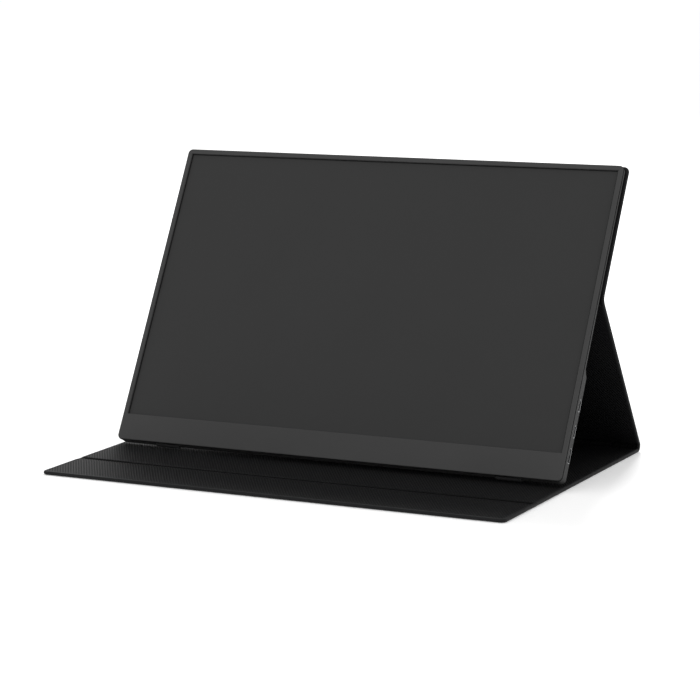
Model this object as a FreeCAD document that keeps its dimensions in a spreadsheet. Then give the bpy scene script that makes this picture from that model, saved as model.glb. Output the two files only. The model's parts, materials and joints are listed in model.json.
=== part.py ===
# Portable monitor in a folding cover, standing open on a table. Millimetres, +Z up, front towards -Y.
# The origin is on the table, under the middle of the whole object.
import FreeCAD
import Part
import Sketcher
import math
import os
import re

V = FreeCAD.Vector
doc = FreeCAD.newDocument("portable_monitor_with_cover")

# Driving sizes
SIZES = [
    ("face_width", 356, "monitor face, side to side"),
    ("face_height", 234, "monitor face, bottom to top"),
    ("face_corner", 3.5, "radius of the face's corners"),
    ("lean", 29.25, "degrees that the screen leans back"),
    ("bezel_side", 3.6, "width of the bezel's side strips"),
    ("bezel_top", 3.6, "width of the bezel's top strip"),
    ("chin_height", 19.8, "height of the bezel's chin"),
    ("bezel_plate", 1.3, "thickness of the bezel's front"),
    ("bezel_edge", 0.5, "rounding of the bezel's front edges"),
    ("lip_wall", 0.7, "thickness of the bezel's inner lip"),
    ("lip_reach", 1.6, "how far the lip goes into the shell"),
    ("lip_clearance", 0.1, "gap between lip and shell"),
    ("seam_gap", 0.6, "joint line between bezel and shell"),
    ("gasket_thickness", 0.3, "foam gasket on the screen"),
    ("gasket_show", 0.6, "gasket seen inside the bezel"),
    ("gasket_cover", 0.7, "gasket under the bezel"),
    ("cell_thickness", 1.0, "screen glass"),
    ("cell_tail", 7.8, "screen glass below the chin's edge"),
    ("diffuser_thickness", 0.3, "diffuser sheet"),
    ("guide_thickness", 0.8, "light guide"),
    ("reflector_thickness", 0.2, "reflector sheet"),
    ("tray_wall", 0.4, "sheet steel of the panel tray"),
    ("optics_gap", 0.2, "gap round the sheets in the tray"),
    ("led_bar", 0.4, "flexible circuit of the light strip"),
    ("led_height", 1.4, "one light source, across the strip"),
    ("led_width", 3.0, "one light source, along the strip"),
    ("led_count", 24, "light sources along the strip"),
    ("thin_depth", 6.0, "depth of the monitor's upper part"),
    ("thick_depth", 10.4, "depth of the lower box"),
    ("box_height", 78, "height of the lower box"),
    ("step_run", 5, "height of the slope above the box"),
    ("step_round", 2.5, "rounding of the slope's two bends"),
    ("shell_wall", 1.1, "wall of the rear shell"),
    ("back_edge", 2.0, "rounding of the shell's rear edges"),
    ("plate_width", 240, "steel holding plate"),
    ("plate_height", 66, "steel holding plate"),
    ("plate_thickness", 0.4, "steel holding plate"),
    ("plate_drop", 12, "top of the shell's cavity to the plate"),
    ("board_thickness", 0.8, "circuit boards"),
    ("board_gap", 0.6, "panel tray to circuit boards"),
    ("board_low", 9, "bottom of the circuit boards"),
    ("main_width", 100, "main board"),
    ("main_height", 58, "main board"),
    ("side_width", 22, "side board"),
    ("side_height", 58, "side board"),
    ("board_margin", 0.4, "main board to the shell's side wall"),
    ("side_margin", 4.0, "side board to the shell's side wall"),
    ("timing_height", 16, "timing board"),
    ("timing_low", 40, "bottom of the timing board"),
    ("ribbon_span", 16.5, "timing board to the main board"),
    ("ribbon_width", 8, "display ribbon cable"),
    ("ribbon_thickness", 0.25, "display ribbon cable"),
    ("ribbon_lap", 9, "ribbon lying on each board"),
    ("chip_size", 13, "main chip"),
    ("chip_thickness", 1.2, "chips"),
    ("small_chip", 7, "smaller chips"),
    ("shield_width", 30, "shield can"),
    ("shield_height", 24, "shield can"),
    ("shield_rise", 2.4, "shield can above the board"),
    ("shield_wall", 0.3, "shield can"),
    ("shield_left", 30, "board's left end to the shield can"),
    ("shield_low", 16, "board's bottom to the shield can"),
    ("usb_width", 9.0, "USB-C socket, along the side"),
    ("usb_height", 3.2, "USB-C socket, front to back"),
    ("usb_corner", 1.5, "USB-C socket"),
    ("usb_low", 37.7, "lower USB-C socket above the bottom"),
    ("usb_pitch", 19.0, "between the USB-C sockets"),
    ("hdmi_width", 10.8, "mini HDMI socket, along the side"),
    ("hdmi_height", 3.2, "mini HDMI socket, front to back"),
    ("hdmi_corner", 0.8, "mini HDMI socket"),
    ("hdmi_low", 20.2, "mini HDMI socket above the bottom"),
    ("socket_wall", 0.35, "metal of the sockets"),
    ("socket_length", 7.4, "depth of the sockets"),
    ("socket_back", 1.0, "closed end of the sockets"),
    ("socket_inset", 0.15, "sockets behind the side face"),
    ("socket_clearance", 0.15, "sockets in the shell's holes"),
    ("tongue_thickness", 0.7, "contact tongue in a socket"),
    ("tongue_inset", 1.0, "tongue behind the socket's mouth"),
    ("jack_low", 20, "audio jack above the bottom"),
    ("jack_bore", 1.8, "radius of the audio jack's bore"),
    ("jack_nose", 2.2, "radius of the audio jack's nose"),
    ("jack_width", 6, "audio jack's body, along the side"),
    ("jack_height", 4.4, "audio jack's body, front to back"),
    ("jack_length", 12, "audio jack's body"),
    ("jack_bore_depth", 11, "depth of the audio jack's bore"),
    ("key_room", 0.1, "panel tray to the audio jack"),
    ("key_height", 3.0, "button and rocker, front to back"),
    ("key_corner", 1.4, "rounding of the button and rocker"),
    ("key_proud", 0.6, "button and rocker outside the side face"),
    ("key_clearance", 0.25, "button and rocker in the shell's holes"),
    ("key_flange", 0.5, "flange round the button and rocker"),
    ("flange_thickness", 0.6, "flange of the button and rocker"),
    ("button_low", 58, "power button above the bottom"),
    ("button_width", 8, "power button"),
    ("button_seat", 0.1, "power button's flange to the wall"),
    ("button_throw", 0.5, "power button to its switch"),
    ("rocker_low", 40, "menu rocker above the bottom"),
    ("rocker_width", 16, "menu rocker"),
    ("rocker_seat", 0.65, "menu rocker's flange to the wall"),
    ("rocker_throw", 0.65, "menu rocker to its switches"),
    ("rocker_reach", 5.5, "rocker's middle to its switches"),
    ("switch_size", 3.0, "switches, along the side and front to back"),
    ("switch_length", 5.0, "switches, inwards from the side"),
    ("speaker_width", 36, "speakers"),
    ("speaker_height", 14, "speakers"),
    ("speaker_room", 18.5, "main board's end to the speakers"),
    ("speaker_low", 11, "bottom of the speakers"),
    ("speaker_gap", 0.2, "panel tray to the speakers"),
    ("slot_width", 1.2, "speaker slots"),
    ("slot_length", 8, "speaker slots"),
    ("slot_pitch", 3.2, "speaker slots"),
    ("slot_count", 9, "speaker slots in a row"),
    ("boss_radius", 2.2, "screw bosses"),
    ("pilot_radius", 0.75, "holes in the screw bosses"),
    ("screw_radius", 0.7, "screw shanks"),
    ("screw_head", 1.5, "radius of the screw heads"),
    ("board_head", 0.45, "height of the board screws' heads"),
    ("board_screw", 3.2, "length of the board screws"),
    ("screw_inset", 4, "board's edge to its screws"),
    ("port_room", 16, "board's port end to its screws"),
    ("shell_screw", 5.0, "length of the shell screws"),
    ("shell_head", 0.6, "height of the shell screws' heads"),
    ("head_clearance", 0.2, "screw heads in their recesses"),
    ("shell_screw_low", 6, "shell screws above the bottom"),
    ("outer_screw_edge", 20, "side of the face to the outer shell screws"),
    ("inner_screw_room", 10.5, "main board's end to the inner shell screws"),
    ("foot_length", 20, "rubber feet"),
    ("foot_radius", 1.7, "rubber feet"),
    ("foot_end", 0.8, "rounding of the feet's ends"),
    ("foot_edge", 41, "side of the face to the middle of a foot"),
    ("foot_depth", 6.5, "face to the middle of a foot"),
    ("foot_gap", 0.3, "foot above the cover's lining"),
    ("cover_margin", 1.8, "cover beyond the monitor on each side"),
    ("cover_thickness", 2.6, "cover panels"),
    ("cover_corner", 4, "radius of the cover's corners"),
    ("skin_thickness", 0.5, "outer leather"),
    ("cover_board", 1.5, "stiff boards in the cover"),
    ("cover_board_gap", 0.1, "boards inside the leather"),
    ("lining_thickness", 0.5, "lining"),
    ("lining_gap", 0.1, "lining inside the hem"),
    ("hem_width", 2, "leather turned in round the cover"),
    ("strip_thickness", 1.1, "soft strips at the folds"),
    ("back_fold_gap", 6, "back fold between its boards"),
    ("channel_width", 6, "channel across the floor panel"),
    ("channel_reach", 54.5, "feet to the channel"),
    ("front_reach", 103.5, "feet to the front edge"),
    ("fold_height", 135.5, "bottom edge of the monitor to the back fold"),
    ("magnet_length", 20, "magnets"),
    ("magnet_width", 8, "magnets"),
    ("magnet_fit", 0.1, "magnets in their pockets"),
    ("holding_rise", 42, "back fold to the holding magnets"),
    ("holding_spacing", 70, "holding magnets"),
    ("closing_rise", 16, "front edge to the closing magnets"),
    ("closing_spacing", 92, "closing magnets"),
]

# Places worked out from the sizes. A side of the stand runs from the feet, or the spine, to the back fold.
LAYOUT = [
    ("panel_turn", "90 - lean"),
    ("strip_mid", "strip_thickness / 2"),
    ("fold_depth", "thin_depth + cover_thickness - strip_mid"),
    ("foot_level", "cover_thickness + foot_gap + foot_radius"),
    ("fold_run", "fold_height * sin(lean) + (fold_depth - foot_depth) * cos(lean)"),
    ("fold_rise", "fold_height * cos(lean) - (fold_depth - foot_depth) * sin(lean)"),
    ("stand_side", "sqrt(fold_run ^ 2 + fold_rise ^ 2)"),
    ("bend_radius", "foot_level"),
    ("bend_mid", "bend_radius - strip_mid"),
    ("leg_turn", "180 - atan2(fold_rise; fold_run) / 1deg + asin(bend_mid / stand_side) / 1deg"),
    ("leg_run", "sqrt(stand_side ^ 2 - bend_mid ^ 2)"),
    ("foot_y", "(front_reach - 2 * fold_run - bend_radius) / 2"),
    ("face_y", "foot_y - foot_depth * cos(lean)"),
    ("face_z", "foot_level + foot_depth * sin(lean)"),
    ("spine_y", "foot_y + 2 * fold_run"),
    ("spine_z", "foot_level"),
    ("leg_y", "spine_y + bend_radius * sin(leg_turn)"),
    ("leg_z", "spine_z - bend_radius * cos(leg_turn)"),
    ("leg_length", "leg_run - back_fold_gap / 2"),
    ("back_turn", "leg_turn - panel_turn"),
    ("back_radius", "back_fold_gap / 2 / tan(back_turn / 2)"),
    ("upper_y", "face_y + fold_height * sin(lean) + (thin_depth + cover_thickness) * cos(lean)"),
    ("upper_z", "face_z + fold_height * cos(lean) - (thin_depth + cover_thickness) * sin(lean)"),
    ("upper_low", "back_fold_gap / 2"),
    ("upper_high", "face_height - fold_height + cover_margin"),
    ("back_axis", "back_radius - strip_mid"),
    ("back_y", "upper_y + upper_low * sin(lean) + back_axis * cos(lean)"),
    ("back_z", "upper_z + upper_low * cos(lean) - back_axis * sin(lean)"),
    ("front_y", "foot_y - front_reach"),
    ("channel_y", "foot_y - channel_reach"),
    ("flap_length", "front_reach - channel_reach - channel_width / 2"),
    ("base_y", "channel_y + channel_width / 2"),
    ("base_length", "spine_y - base_y"),
    ("cover_half", "face_width / 2 + cover_margin"),
    ("face_half", "face_width / 2"),
    ("window_half", "face_half - bezel_side"),
    ("window_high", "face_height - bezel_top"),
    ("cell_half", "window_half + gasket_cover"),
    ("cell_low", "chin_height - cell_tail"),
    ("cell_high", "window_high + gasket_cover"),
    ("cell_front", "bezel_plate + gasket_thickness"),
    ("cell_back", "cell_front + cell_thickness"),
    ("guide_front", "cell_back + diffuser_thickness"),
    ("guide_back", "guide_front + guide_thickness"),
    ("tray_floor", "guide_back + reflector_thickness"),
    ("tray_back", "tray_floor + tray_wall"),
    ("sheet_half", "cell_half - tray_wall - optics_gap"),
    ("sheet_low", "cell_low + tray_wall + optics_gap"),
    ("sheet_high", "cell_high - tray_wall - optics_gap"),
    ("guide_low", "sheet_low + led_bar + led_height + optics_gap"),
    ("shell_front", "bezel_plate + seam_gap"),
    ("lip_half", "face_half - shell_wall - lip_clearance"),
    ("lip_low", "shell_wall + lip_clearance"),
    ("lip_high", "face_height - shell_wall - lip_clearance"),
    ("lip_corner", "face_corner - shell_wall - lip_clearance"),
    ("box_inside", "thick_depth - shell_wall"),
    ("wall_inside", "face_half - shell_wall"),
    ("board_front", "tray_back + board_gap"),
    ("board_back", "board_front + board_thickness"),
    ("board_end", "wall_inside - board_margin"),
    ("main_left", "board_end - main_width"),
    ("main_high", "board_low + main_height"),
    ("side_end", "wall_inside - side_margin"),
    ("side_high", "board_low + side_height"),
    ("timing_back", "tray_back + board_thickness"),
    ("timing_high", "timing_low + timing_height"),
    ("timing_half", "main_left - ribbon_span"),
    ("speaker_out", "main_left - speaker_room - speaker_width / 2"),
    ("shell_screw_out", "face_half - outer_screw_edge"),
    ("shell_screw_in", "main_left - inner_screw_room"),
    ("foot_out", "face_half - foot_edge"),
    ("usb_depth", "board_back + usb_height / 2"),
    ("hdmi_depth", "board_back + hdmi_height / 2"),
    ("socket_mouth", "face_half - socket_inset"),
    ("key_depth", "tray_back + key_room + jack_height / 2"),
    ("button_back", "wall_inside - button_seat - flange_thickness"),
    ("rocker_back", "wall_inside - rocker_seat - flange_thickness"),
    ("main_screw_left", "main_left + screw_inset"),
    ("main_screw_right", "board_end - port_room"),
    ("main_screw_low", "board_low + screw_inset"),
    ("main_screw_high", "main_high - screw_inset"),
    ("side_screw_out", "side_end - side_width + screw_inset"),
    ("side_screw_high", "side_high - screw_inset"),
]

SHEET_OF = {}


def fill_sheet(sheet, rows):
    """Writes aliased cells: plain numbers in the first sheet, formulas in the second."""
    for line, (alias, content) in enumerate(rows, start=1):
        cell = "A%d" % line
        sheet.set(cell, content)
        sheet.setAlias(cell, alias)
        SHEET_OF[alias] = sheet.Name


def bound(text):
    """The formula with each size's name led by its sheet's name."""
    return re.sub(r"[a-z]+(?:_[a-z]+)*", lambda found: prefixed(found.group(0)), text)


def prefixed(word):
    return "%s.%s" % (SHEET_OF[word], word) if word in SHEET_OF else word


sizes = doc.addObject("Spreadsheet::Sheet", "Sizes")
fill_sheet(sizes, [(alias, str(value)) for alias, value, note in SIZES])
for line, (alias, value, note) in enumerate(SIZES, start=1):
    sizes.set("B%d" % line, note)
doc.recompute()
layout = doc.addObject("Spreadsheet::Sheet", "Layout")
for alias, formula in LAYOUT:
    SHEET_OF[alias] = "Layout"
fill_sheet(layout, [(alias, "=" + bound(formula)) for alias, formula in LAYOUT])
doc.recompute()


def number(text):
    return float(sizes.evalExpression(bound(text)))


# Helpers for bodies, sketches and features
PARTS = []


def new_body(name):
    body = doc.addObject("PartDesign::Body", name)
    body.Label = name
    body.AllowCompound = True
    return body


def kept(piece, name):
    """Marks an object as a sub-part with a file of its own."""
    piece.Label = name
    PARTS.append(piece)
    return piece


def place(piece, turn, y_place, z_place):
    """Turns a piece about X and moves it, both tied to the sheets."""
    piece.Placement = FreeCAD.Placement(V(0, 0, 0), FreeCAD.Rotation(V(1, 0, 0), number(turn)))
    piece.setExpression("Placement.Rotation.Angle", bound(turn))
    piece.setExpression("Placement.Base.y", bound(y_place))
    piece.setExpression("Placement.Base.z", bound(z_place))
    return piece


def on_monitor(piece):
    """Local X runs along the face, Y up it and Z out of it, from the middle of its bottom edge."""
    return place(piece, "panel_turn", "face_y", "face_z")


def new_sketch(body, role, offset="0"):
    """A sketch on one of the body's own planes, moved along the plane's normal."""
    sketch = body.newObject("Sketcher::SketchObject", body.Name + "_sketch")
    support = [feature for feature in body.Origin.OriginFeatures if feature.Role == role]
    sketch.AttachmentSupport = [(support[0], "")]
    sketch.MapMode = "FlatFace"
    sketch.setExpression("AttachmentOffset.Base.z", bound(offset))
    return sketch


def dimension(sketch, constraint, formula):
    """Adds a constraint and ties its value to a formula."""
    index = sketch.addConstraint(constraint)
    title = "size_%d" % index
    sketch.renameConstraint(index, title)
    sketch.setExpression("Constraints." + title, bound(formula))


def hold_point(sketch, geometry, point, x_formula, y_formula):
    """Ties a point's two distances from the sketch's origin."""
    across = Sketcher.Constraint("DistanceX", -1, 1, geometry, point, number(x_formula))
    dimension(sketch, across, x_formula)
    upward = Sketcher.Constraint("DistanceY", -1, 1, geometry, point, number(y_formula))
    dimension(sketch, upward, y_formula)


def polygon(sketch, corners):
    """A closed outline of straight lines through corners given as pairs of formulas."""
    points = [V(number(x), number(y), 0) for x, y in corners]
    first = sketch.GeometryCount
    count = len(points)
    for step in range(count):
        sketch.addGeometry(Part.LineSegment(points[step], points[(step + 1) % count]))
    for step in range(count):
        following = first + (step + 1) % count
        sketch.addConstraint(Sketcher.Constraint("Coincident", first + step, 2, following, 1))
    for step, (x, y) in enumerate(corners):
        hold_point(sketch, first + step, 1, x, y)


def rectangle(sketch, x_low, x_high, y_low, y_high):
    polygon(sketch, [(x_low, y_low), (x_high, y_low), (x_high, y_high), (x_low, y_high)])


def rounded(sketch, x_low, x_high, y_low, y_high, radius):
    """A rectangle with four round corners of one radius."""
    left, right, low, high = [number(edge) for edge in (x_low, x_high, y_low, y_high)]
    bend = number(radius)
    first = sketch.GeometryCount
    middles = [V(right - bend, low + bend, 0), V(right - bend, high - bend, 0),
               V(left + bend, high - bend, 0), V(left + bend, low + bend, 0)]
    sides = [(V(left + bend, low, 0), V(right - bend, low, 0)),
             (V(right, low + bend, 0), V(right, high - bend, 0)),
             (V(right - bend, high, 0), V(left + bend, high, 0)),
             (V(left, high - bend, 0), V(left, low + bend, 0))]
    for step in range(4):
        sketch.addGeometry(Part.LineSegment(*sides[step]))
        start = (step - 1) * math.pi / 2
        whole = Part.Circle(middles[step], V(0, 0, 1), bend)
        sketch.addGeometry(Part.ArcOfCircle(whole, start, start + math.pi / 2))
    for step in range(8):
        sketch.addConstraint(Sketcher.Constraint("Tangent", first + step, 2, first + (step + 1) % 8, 1))
    for step in (0, 4):
        sketch.addConstraint(Sketcher.Constraint("Horizontal", first + step))
    for step in (3, 5, 7):
        sketch.addConstraint(Sketcher.Constraint("Equal", first + 1, first + step))
    dimension(sketch, Sketcher.Constraint("Radius", first + 1, bend), radius)
    for step, low_side, high_side, kind in ((0, y_low, y_high, "DistanceY"), (2, x_high, x_low, "DistanceX")):
        for index, edge_place in ((first + step, low_side), (first + step + 4, high_side)):
            held = Sketcher.Constraint(kind, -1, 1, index, 1, number(edge_place))
            dimension(sketch, held, edge_place)


def circle(sketch, x, y, radius):
    index = sketch.addGeometry(Part.Circle(V(number(x), number(y), 0), V(0, 0, 1), number(radius)))
    hold_point(sketch, index, 3, x, y)
    dimension(sketch, Sketcher.Constraint("Radius", index, number(radius)), radius)


def pad(body, sketch, length, symmetric=False, reverse=False):
    feature = body.newObject("PartDesign::Pad", body.Name + "_pad")
    feature.Profile = sketch
    feature.SideType = "Symmetric" if symmetric else "One side"
    feature.Reversed = reverse
    feature.setExpression("Length", bound(length))
    return feature


def pocket(body, sketch, length, upward=False):
    """Cuts along the sketch's normal when upward, and against it otherwise."""
    feature = body.newObject("PartDesign::Pocket", body.Name + "_pocket")
    feature.Profile = sketch
    feature.Reversed = upward
    feature.setExpression("Length", bound(length))
    return feature


def edge_names(feature, test):
    doc.recompute()
    return ["Edge%d" % (index + 1) for index, edge in enumerate(feature.Shape.Edges) if test(edge)]


def fillet(body, test, radius):
    """Rounds the edges of the body's last feature that pass the test."""
    last = body.Tip
    names = edge_names(last, test)
    feature = body.newObject("PartDesign::Fillet", body.Name + "_fillet")
    feature.Base = (last, names)
    feature.setExpression("Radius", bound(radius))
    return feature


TOLERANCE = 1e-4


def near(first, second):
    return abs(first - second) < TOLERANCE


def edge_middle(edge):
    return edge.valueAt((edge.FirstParameter + edge.LastParameter) / 2)


def runs_along(edge, direction):
    """True for a straight edge in the direction."""
    if edge.Curve.TypeId != "Part::GeomLine":
        return False
    ends = edge.valueAt(edge.LastParameter) - edge.valueAt(edge.FirstParameter)
    return near(abs(ends.normalize().dot(direction)), 1)


def boolean(kind, name, base, tool):
    feature = doc.addObject("Part::" + kind, name)
    feature.Base = base
    feature.Tool = tool
    return feature


def joined(name, pieces):
    feature = doc.addObject("Part::MultiFuse", name)
    feature.Shapes = pieces
    return feature


def slab(name, x_low, x_high, v_low, v_high, front, back):
    """A flat piece of the monitor between two depths behind its face."""
    body = new_body(name)
    sketch = new_sketch(body, "XY_Plane", "-(%s)" % back)
    rectangle(sketch, x_low, x_high, v_low, v_high)
    pad(body, sketch, "%s - (%s)" % (back, front))
    return on_monitor(kept(body, name))


def middle_slab(name, half, v_low, v_high, front, back):
    return slab(name, "-(%s)" % half, half, v_low, v_high, front, back)


# Cover panels: leather skin turned in over a board, with the lining inside the hem
def panel_outline(sketch, low, high, inset, hem_low, hem_high, fold_inset):
    """The panel's outline, drawn in by the inset, or by the fold inset at an end that joins a strip."""
    low_inset = inset if hem_low else fold_inset
    high_inset = inset if hem_high else fold_inset
    rectangle(sketch, "%s - cover_half" % inset, "cover_half - (%s)" % inset,
              "%s + %s" % (low, low_inset), "%s - (%s)" % (high, high_inset))


def round_corners(body, ends, radius):
    """Rounds the panel's corners at the ends given by their place along it."""
    spots = [number(end) for end in ends]

    def at_corner(edge):
        middle = edge_middle(edge)
        on_end = any(abs(middle.y - spot) < number("cover_corner") for spot in spots)
        return on_end and runs_along(edge, V(0, 0, 1))

    if spots:
        fillet(body, at_corner, radius)


def cover_panel(name, low, high, hem_low, hem_high, where, pockets=None):
    """Makes the skin, the board and the lining of one panel, which runs along Y from low to high."""
    ends = ([low] if hem_low else []) + ([high] if hem_high else [])
    wall = "skin_thickness"
    board_top = "skin_thickness + cover_board"

    blank = new_body(name + "_blank")
    sketch = new_sketch(blank, "XY_Plane")
    panel_outline(sketch, low, high, "0", hem_low, hem_high, "0")
    pad(blank, sketch, "cover_thickness")
    round_corners(blank, ends, "cover_corner")
    cavity = new_body(name + "_cavity")
    sketch = new_sketch(cavity, "XY_Plane", wall)
    panel_outline(sketch, low, high, wall, hem_low, hem_high, wall)
    pad(cavity, sketch, "cover_board")
    round_corners(cavity, ends, "cover_corner - skin_thickness")
    window = new_body(name + "_window")
    sketch = new_sketch(window, "XY_Plane", board_top)
    panel_outline(sketch, low, high, "hem_width", hem_low, hem_high, wall)
    pad(window, sketch, "cover_thickness")
    round_corners(window, ends, "cover_corner - hem_width")
    room = joined(name + "_room", [cavity, window])
    skin = boolean("Cut", name + "_skin", blank, room)
    where(kept(skin, name + "_skin"))

    board = new_body(name + "_board")
    inset = wall + " + cover_board_gap"
    sketch = new_sketch(board, "XY_Plane", wall)
    panel_outline(sketch, low, high, inset, hem_low, hem_high, inset)
    pad(board, sketch, "cover_board")
    round_corners(board, ends, "cover_corner - skin_thickness - cover_board_gap")
    if pockets:
        sketch = new_sketch(board, "XY_Plane", board_top)
        pockets(sketch, "magnet_fit")
        pocket(board, sketch, "cover_board")
    where(kept(board, name + "_board"))

    lining = new_body(name + "_lining")
    sketch = new_sketch(lining, "XY_Plane", board_top)
    panel_outline(sketch, low, high, "hem_width + lining_gap", hem_low, hem_high, wall + " + lining_gap")
    pad(lining, sketch, "lining_thickness")
    round_corners(lining, ends, "cover_corner - hem_width - lining_gap")
    where(kept(lining, name + "_lining"))


def magnet_row(rise, pitch):
    """Draws three magnets side by side, each outline grown by a gap."""
    def draw(sketch, gap):
        for place_in_row in (-1, 0, 1):
            middle = "%d * %s" % (place_in_row, pitch)
            rectangle(sketch, "%s - magnet_length / 2 - %s" % (middle, gap),
                      "%s + magnet_length / 2 + %s" % (middle, gap),
                      "%s - magnet_width / 2 - %s" % (rise, gap),
                      "%s + magnet_width / 2 + %s" % (rise, gap))
    return draw


def magnets(name, draw, where):
    body = new_body(name)
    sketch = new_sketch(body, "XY_Plane", "skin_thickness")
    draw(sketch, "0")
    pad(body, sketch, "cover_board")
    where(kept(body, name))


def bent_strip(name, inner, outer, angle, where):
    """A strip bent about X: its section lies above or below the axis and turns by the angle."""
    body = new_body(name)
    sketch = new_sketch(body, "XZ_Plane")
    rectangle(sketch, "-cover_half", "cover_half", inner, outer)
    turn = body.newObject("PartDesign::Revolution", name + "_turn")
    turn.Profile = sketch
    axis = [feature for feature in body.Origin.OriginFeatures if feature.Role == "X_Axis"]
    turn.ReferenceAxis = (axis[0], [""])
    turn.setExpression("Angle", bound(angle))
    where(kept(body, name))


def on_flap(piece):
    return place(piece, "0", "front_y", "0")


def on_base(piece):
    return place(piece, "0", "base_y", "0")


def on_leg(piece):
    return place(piece, "leg_turn", "leg_y", "leg_z")


def on_upper(piece):
    return place(piece, "panel_turn", "upper_y", "upper_z")


def at_spine(piece):
    return place(piece, "0", "spine_y", "spine_z")


def at_back_fold(piece):
    return place(piece, "panel_turn", "back_y", "back_z")


def make_cover():
    holding = magnet_row("holding_rise", "holding_spacing")
    closing = magnet_row("closing_rise", "closing_spacing")
    cover_panel("flap", "0", "flap_length", True, False, on_flap, closing)
    cover_panel("base", "0", "base_length", False, False, on_base)
    cover_panel("leg", "0", "leg_length", False, False, on_leg)
    cover_panel("upper", "upper_low", "upper_high", False, True, on_upper, holding)
    magnets("closing_magnets", closing, on_flap)
    magnets("holding_magnets", holding, on_upper)
    channel = new_body("flap_fold_strip")
    sketch = new_sketch(channel, "XY_Plane")
    rectangle(sketch, "-cover_half", "cover_half", "-channel_width", "0")
    pad(channel, sketch, "strip_thickness")
    on_base(kept(channel, "flap_fold_strip"))
    bent_strip("spine_strip", "-bend_radius", "strip_thickness - bend_radius", "leg_turn", at_spine)
    bent_strip("back_fold_strip", "back_radius - strip_mid", "back_radius + strip_mid", "back_turn",
               at_back_fold)


# Front of the monitor: bezel, gasket and the screen's layers
def make_bezel():
    body = new_body("front_bezel")
    sketch = new_sketch(body, "XY_Plane", "-bezel_plate")
    rounded(sketch, "-face_half", "face_half", "0", "face_height", "face_corner")
    pad(body, sketch, "bezel_plate")
    sketch = new_sketch(body, "XY_Plane")
    rectangle(sketch, "-window_half", "window_half", "chin_height", "window_high")
    pocket(body, sketch, "bezel_plate")
    fillet(body, lambda edge: near(edge.BoundBox.ZMin, 0) and near(edge.BoundBox.ZMax, 0), "bezel_edge")
    sketch = new_sketch(body, "XY_Plane", "-bezel_plate")
    rounded(sketch, "-lip_half", "lip_half", "lip_low", "lip_high", "lip_corner")
    rounded(sketch, "lip_wall - lip_half", "lip_half - lip_wall", "lip_low + lip_wall", "lip_high - lip_wall",
            "lip_corner - lip_wall")
    pad(body, sketch, "lip_reach", reverse=True)
    sketch = new_sketch(body, "XY_Plane", "-bezel_plate")
    for x in SHELL_SCREWS:
        circle(sketch, x, "shell_screw_low", "boss_radius")
    pad(body, sketch, "box_inside - bezel_plate", reverse=True)
    sketch = new_sketch(body, "XY_Plane", "-box_inside")
    for x in SHELL_SCREWS:
        circle(sketch, x, "shell_screw_low", "pilot_radius")
    pocket(body, sketch, "shell_screw", upward=True)
    on_monitor(kept(body, "front_bezel"))


def make_screen():
    gasket = new_body("screen_gasket")
    sketch = new_sketch(gasket, "XY_Plane", "-cell_front")
    rectangle(sketch, "-cell_half", "cell_half", "chin_height - gasket_cover", "cell_high")
    rectangle(sketch, "gasket_show - window_half", "window_half - gasket_show", "chin_height",
              "window_high - gasket_show")
    pad(gasket, sketch, "gasket_thickness")
    on_monitor(kept(gasket, "screen_gasket"))
    middle_slab("lcd_cell", "cell_half", "cell_low", "cell_high", "cell_front", "cell_back")
    middle_slab("diffuser_sheet", "sheet_half", "sheet_low", "sheet_high", "cell_back", "guide_front")
    middle_slab("light_guide", "sheet_half", "guide_low", "sheet_high", "guide_front", "guide_back")
    middle_slab("reflector_sheet", "sheet_half", "sheet_low", "sheet_high", "guide_back", "tray_floor")

    tray = new_body("panel_tray")
    sketch = new_sketch(tray, "XY_Plane", "-tray_back")
    rectangle(sketch, "-cell_half", "cell_half", "cell_low", "cell_high")
    pad(tray, sketch, "tray_back - cell_back")
    sketch = new_sketch(tray, "XY_Plane", "-cell_back")
    rectangle(sketch, "tray_wall - cell_half", "cell_half - tray_wall", "cell_low + tray_wall",
              "cell_high - tray_wall")
    pocket(tray, sketch, "tray_floor - cell_back")
    on_monitor(kept(tray, "panel_tray"))

    strip = new_body("led_strip")
    sketch = new_sketch(strip, "XY_Plane", "-guide_back")
    rectangle(sketch, "-sheet_half", "sheet_half", "sheet_low", "sheet_low + led_bar")
    pad(strip, sketch, "guide_thickness")
    sketch = new_sketch(strip, "XY_Plane", "-guide_back")
    count = round(number("led_count"))
    for step in range(count):
        middle = "sheet_half * %s" % ((2 * step + 1) / count - 1)
        rectangle(sketch, middle + " - led_width / 2", middle + " + led_width / 2", "sheet_low + led_bar",
                  "sheet_low + led_bar + led_height")
    pad(strip, sketch, "guide_thickness")
    on_monitor(kept(strip, "led_strip"))


# Rear shell: a stepped housing with bosses, port holes and speaker slots
SHELL_SCREWS = ("-shell_screw_out", "-shell_screw_in", "shell_screw_in", "shell_screw_out")
MAIN_SCREWS = [(x, v) for x in ("main_screw_left", "main_screw_right")
               for v in ("main_screw_low", "main_screw_high")]
SIDE_SCREWS = [("-side_screw_out", v) for v in ("main_screw_low", "side_screw_high")]
BOARD_SCREWS = MAIN_SCREWS + SIDE_SCREWS


def is_wall(face):
    low, high, left, right = face.ParameterRange
    normal = face.normalAt((low + high) / 2, (left + right) / 2)
    return near(normal.z, 0)


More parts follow.
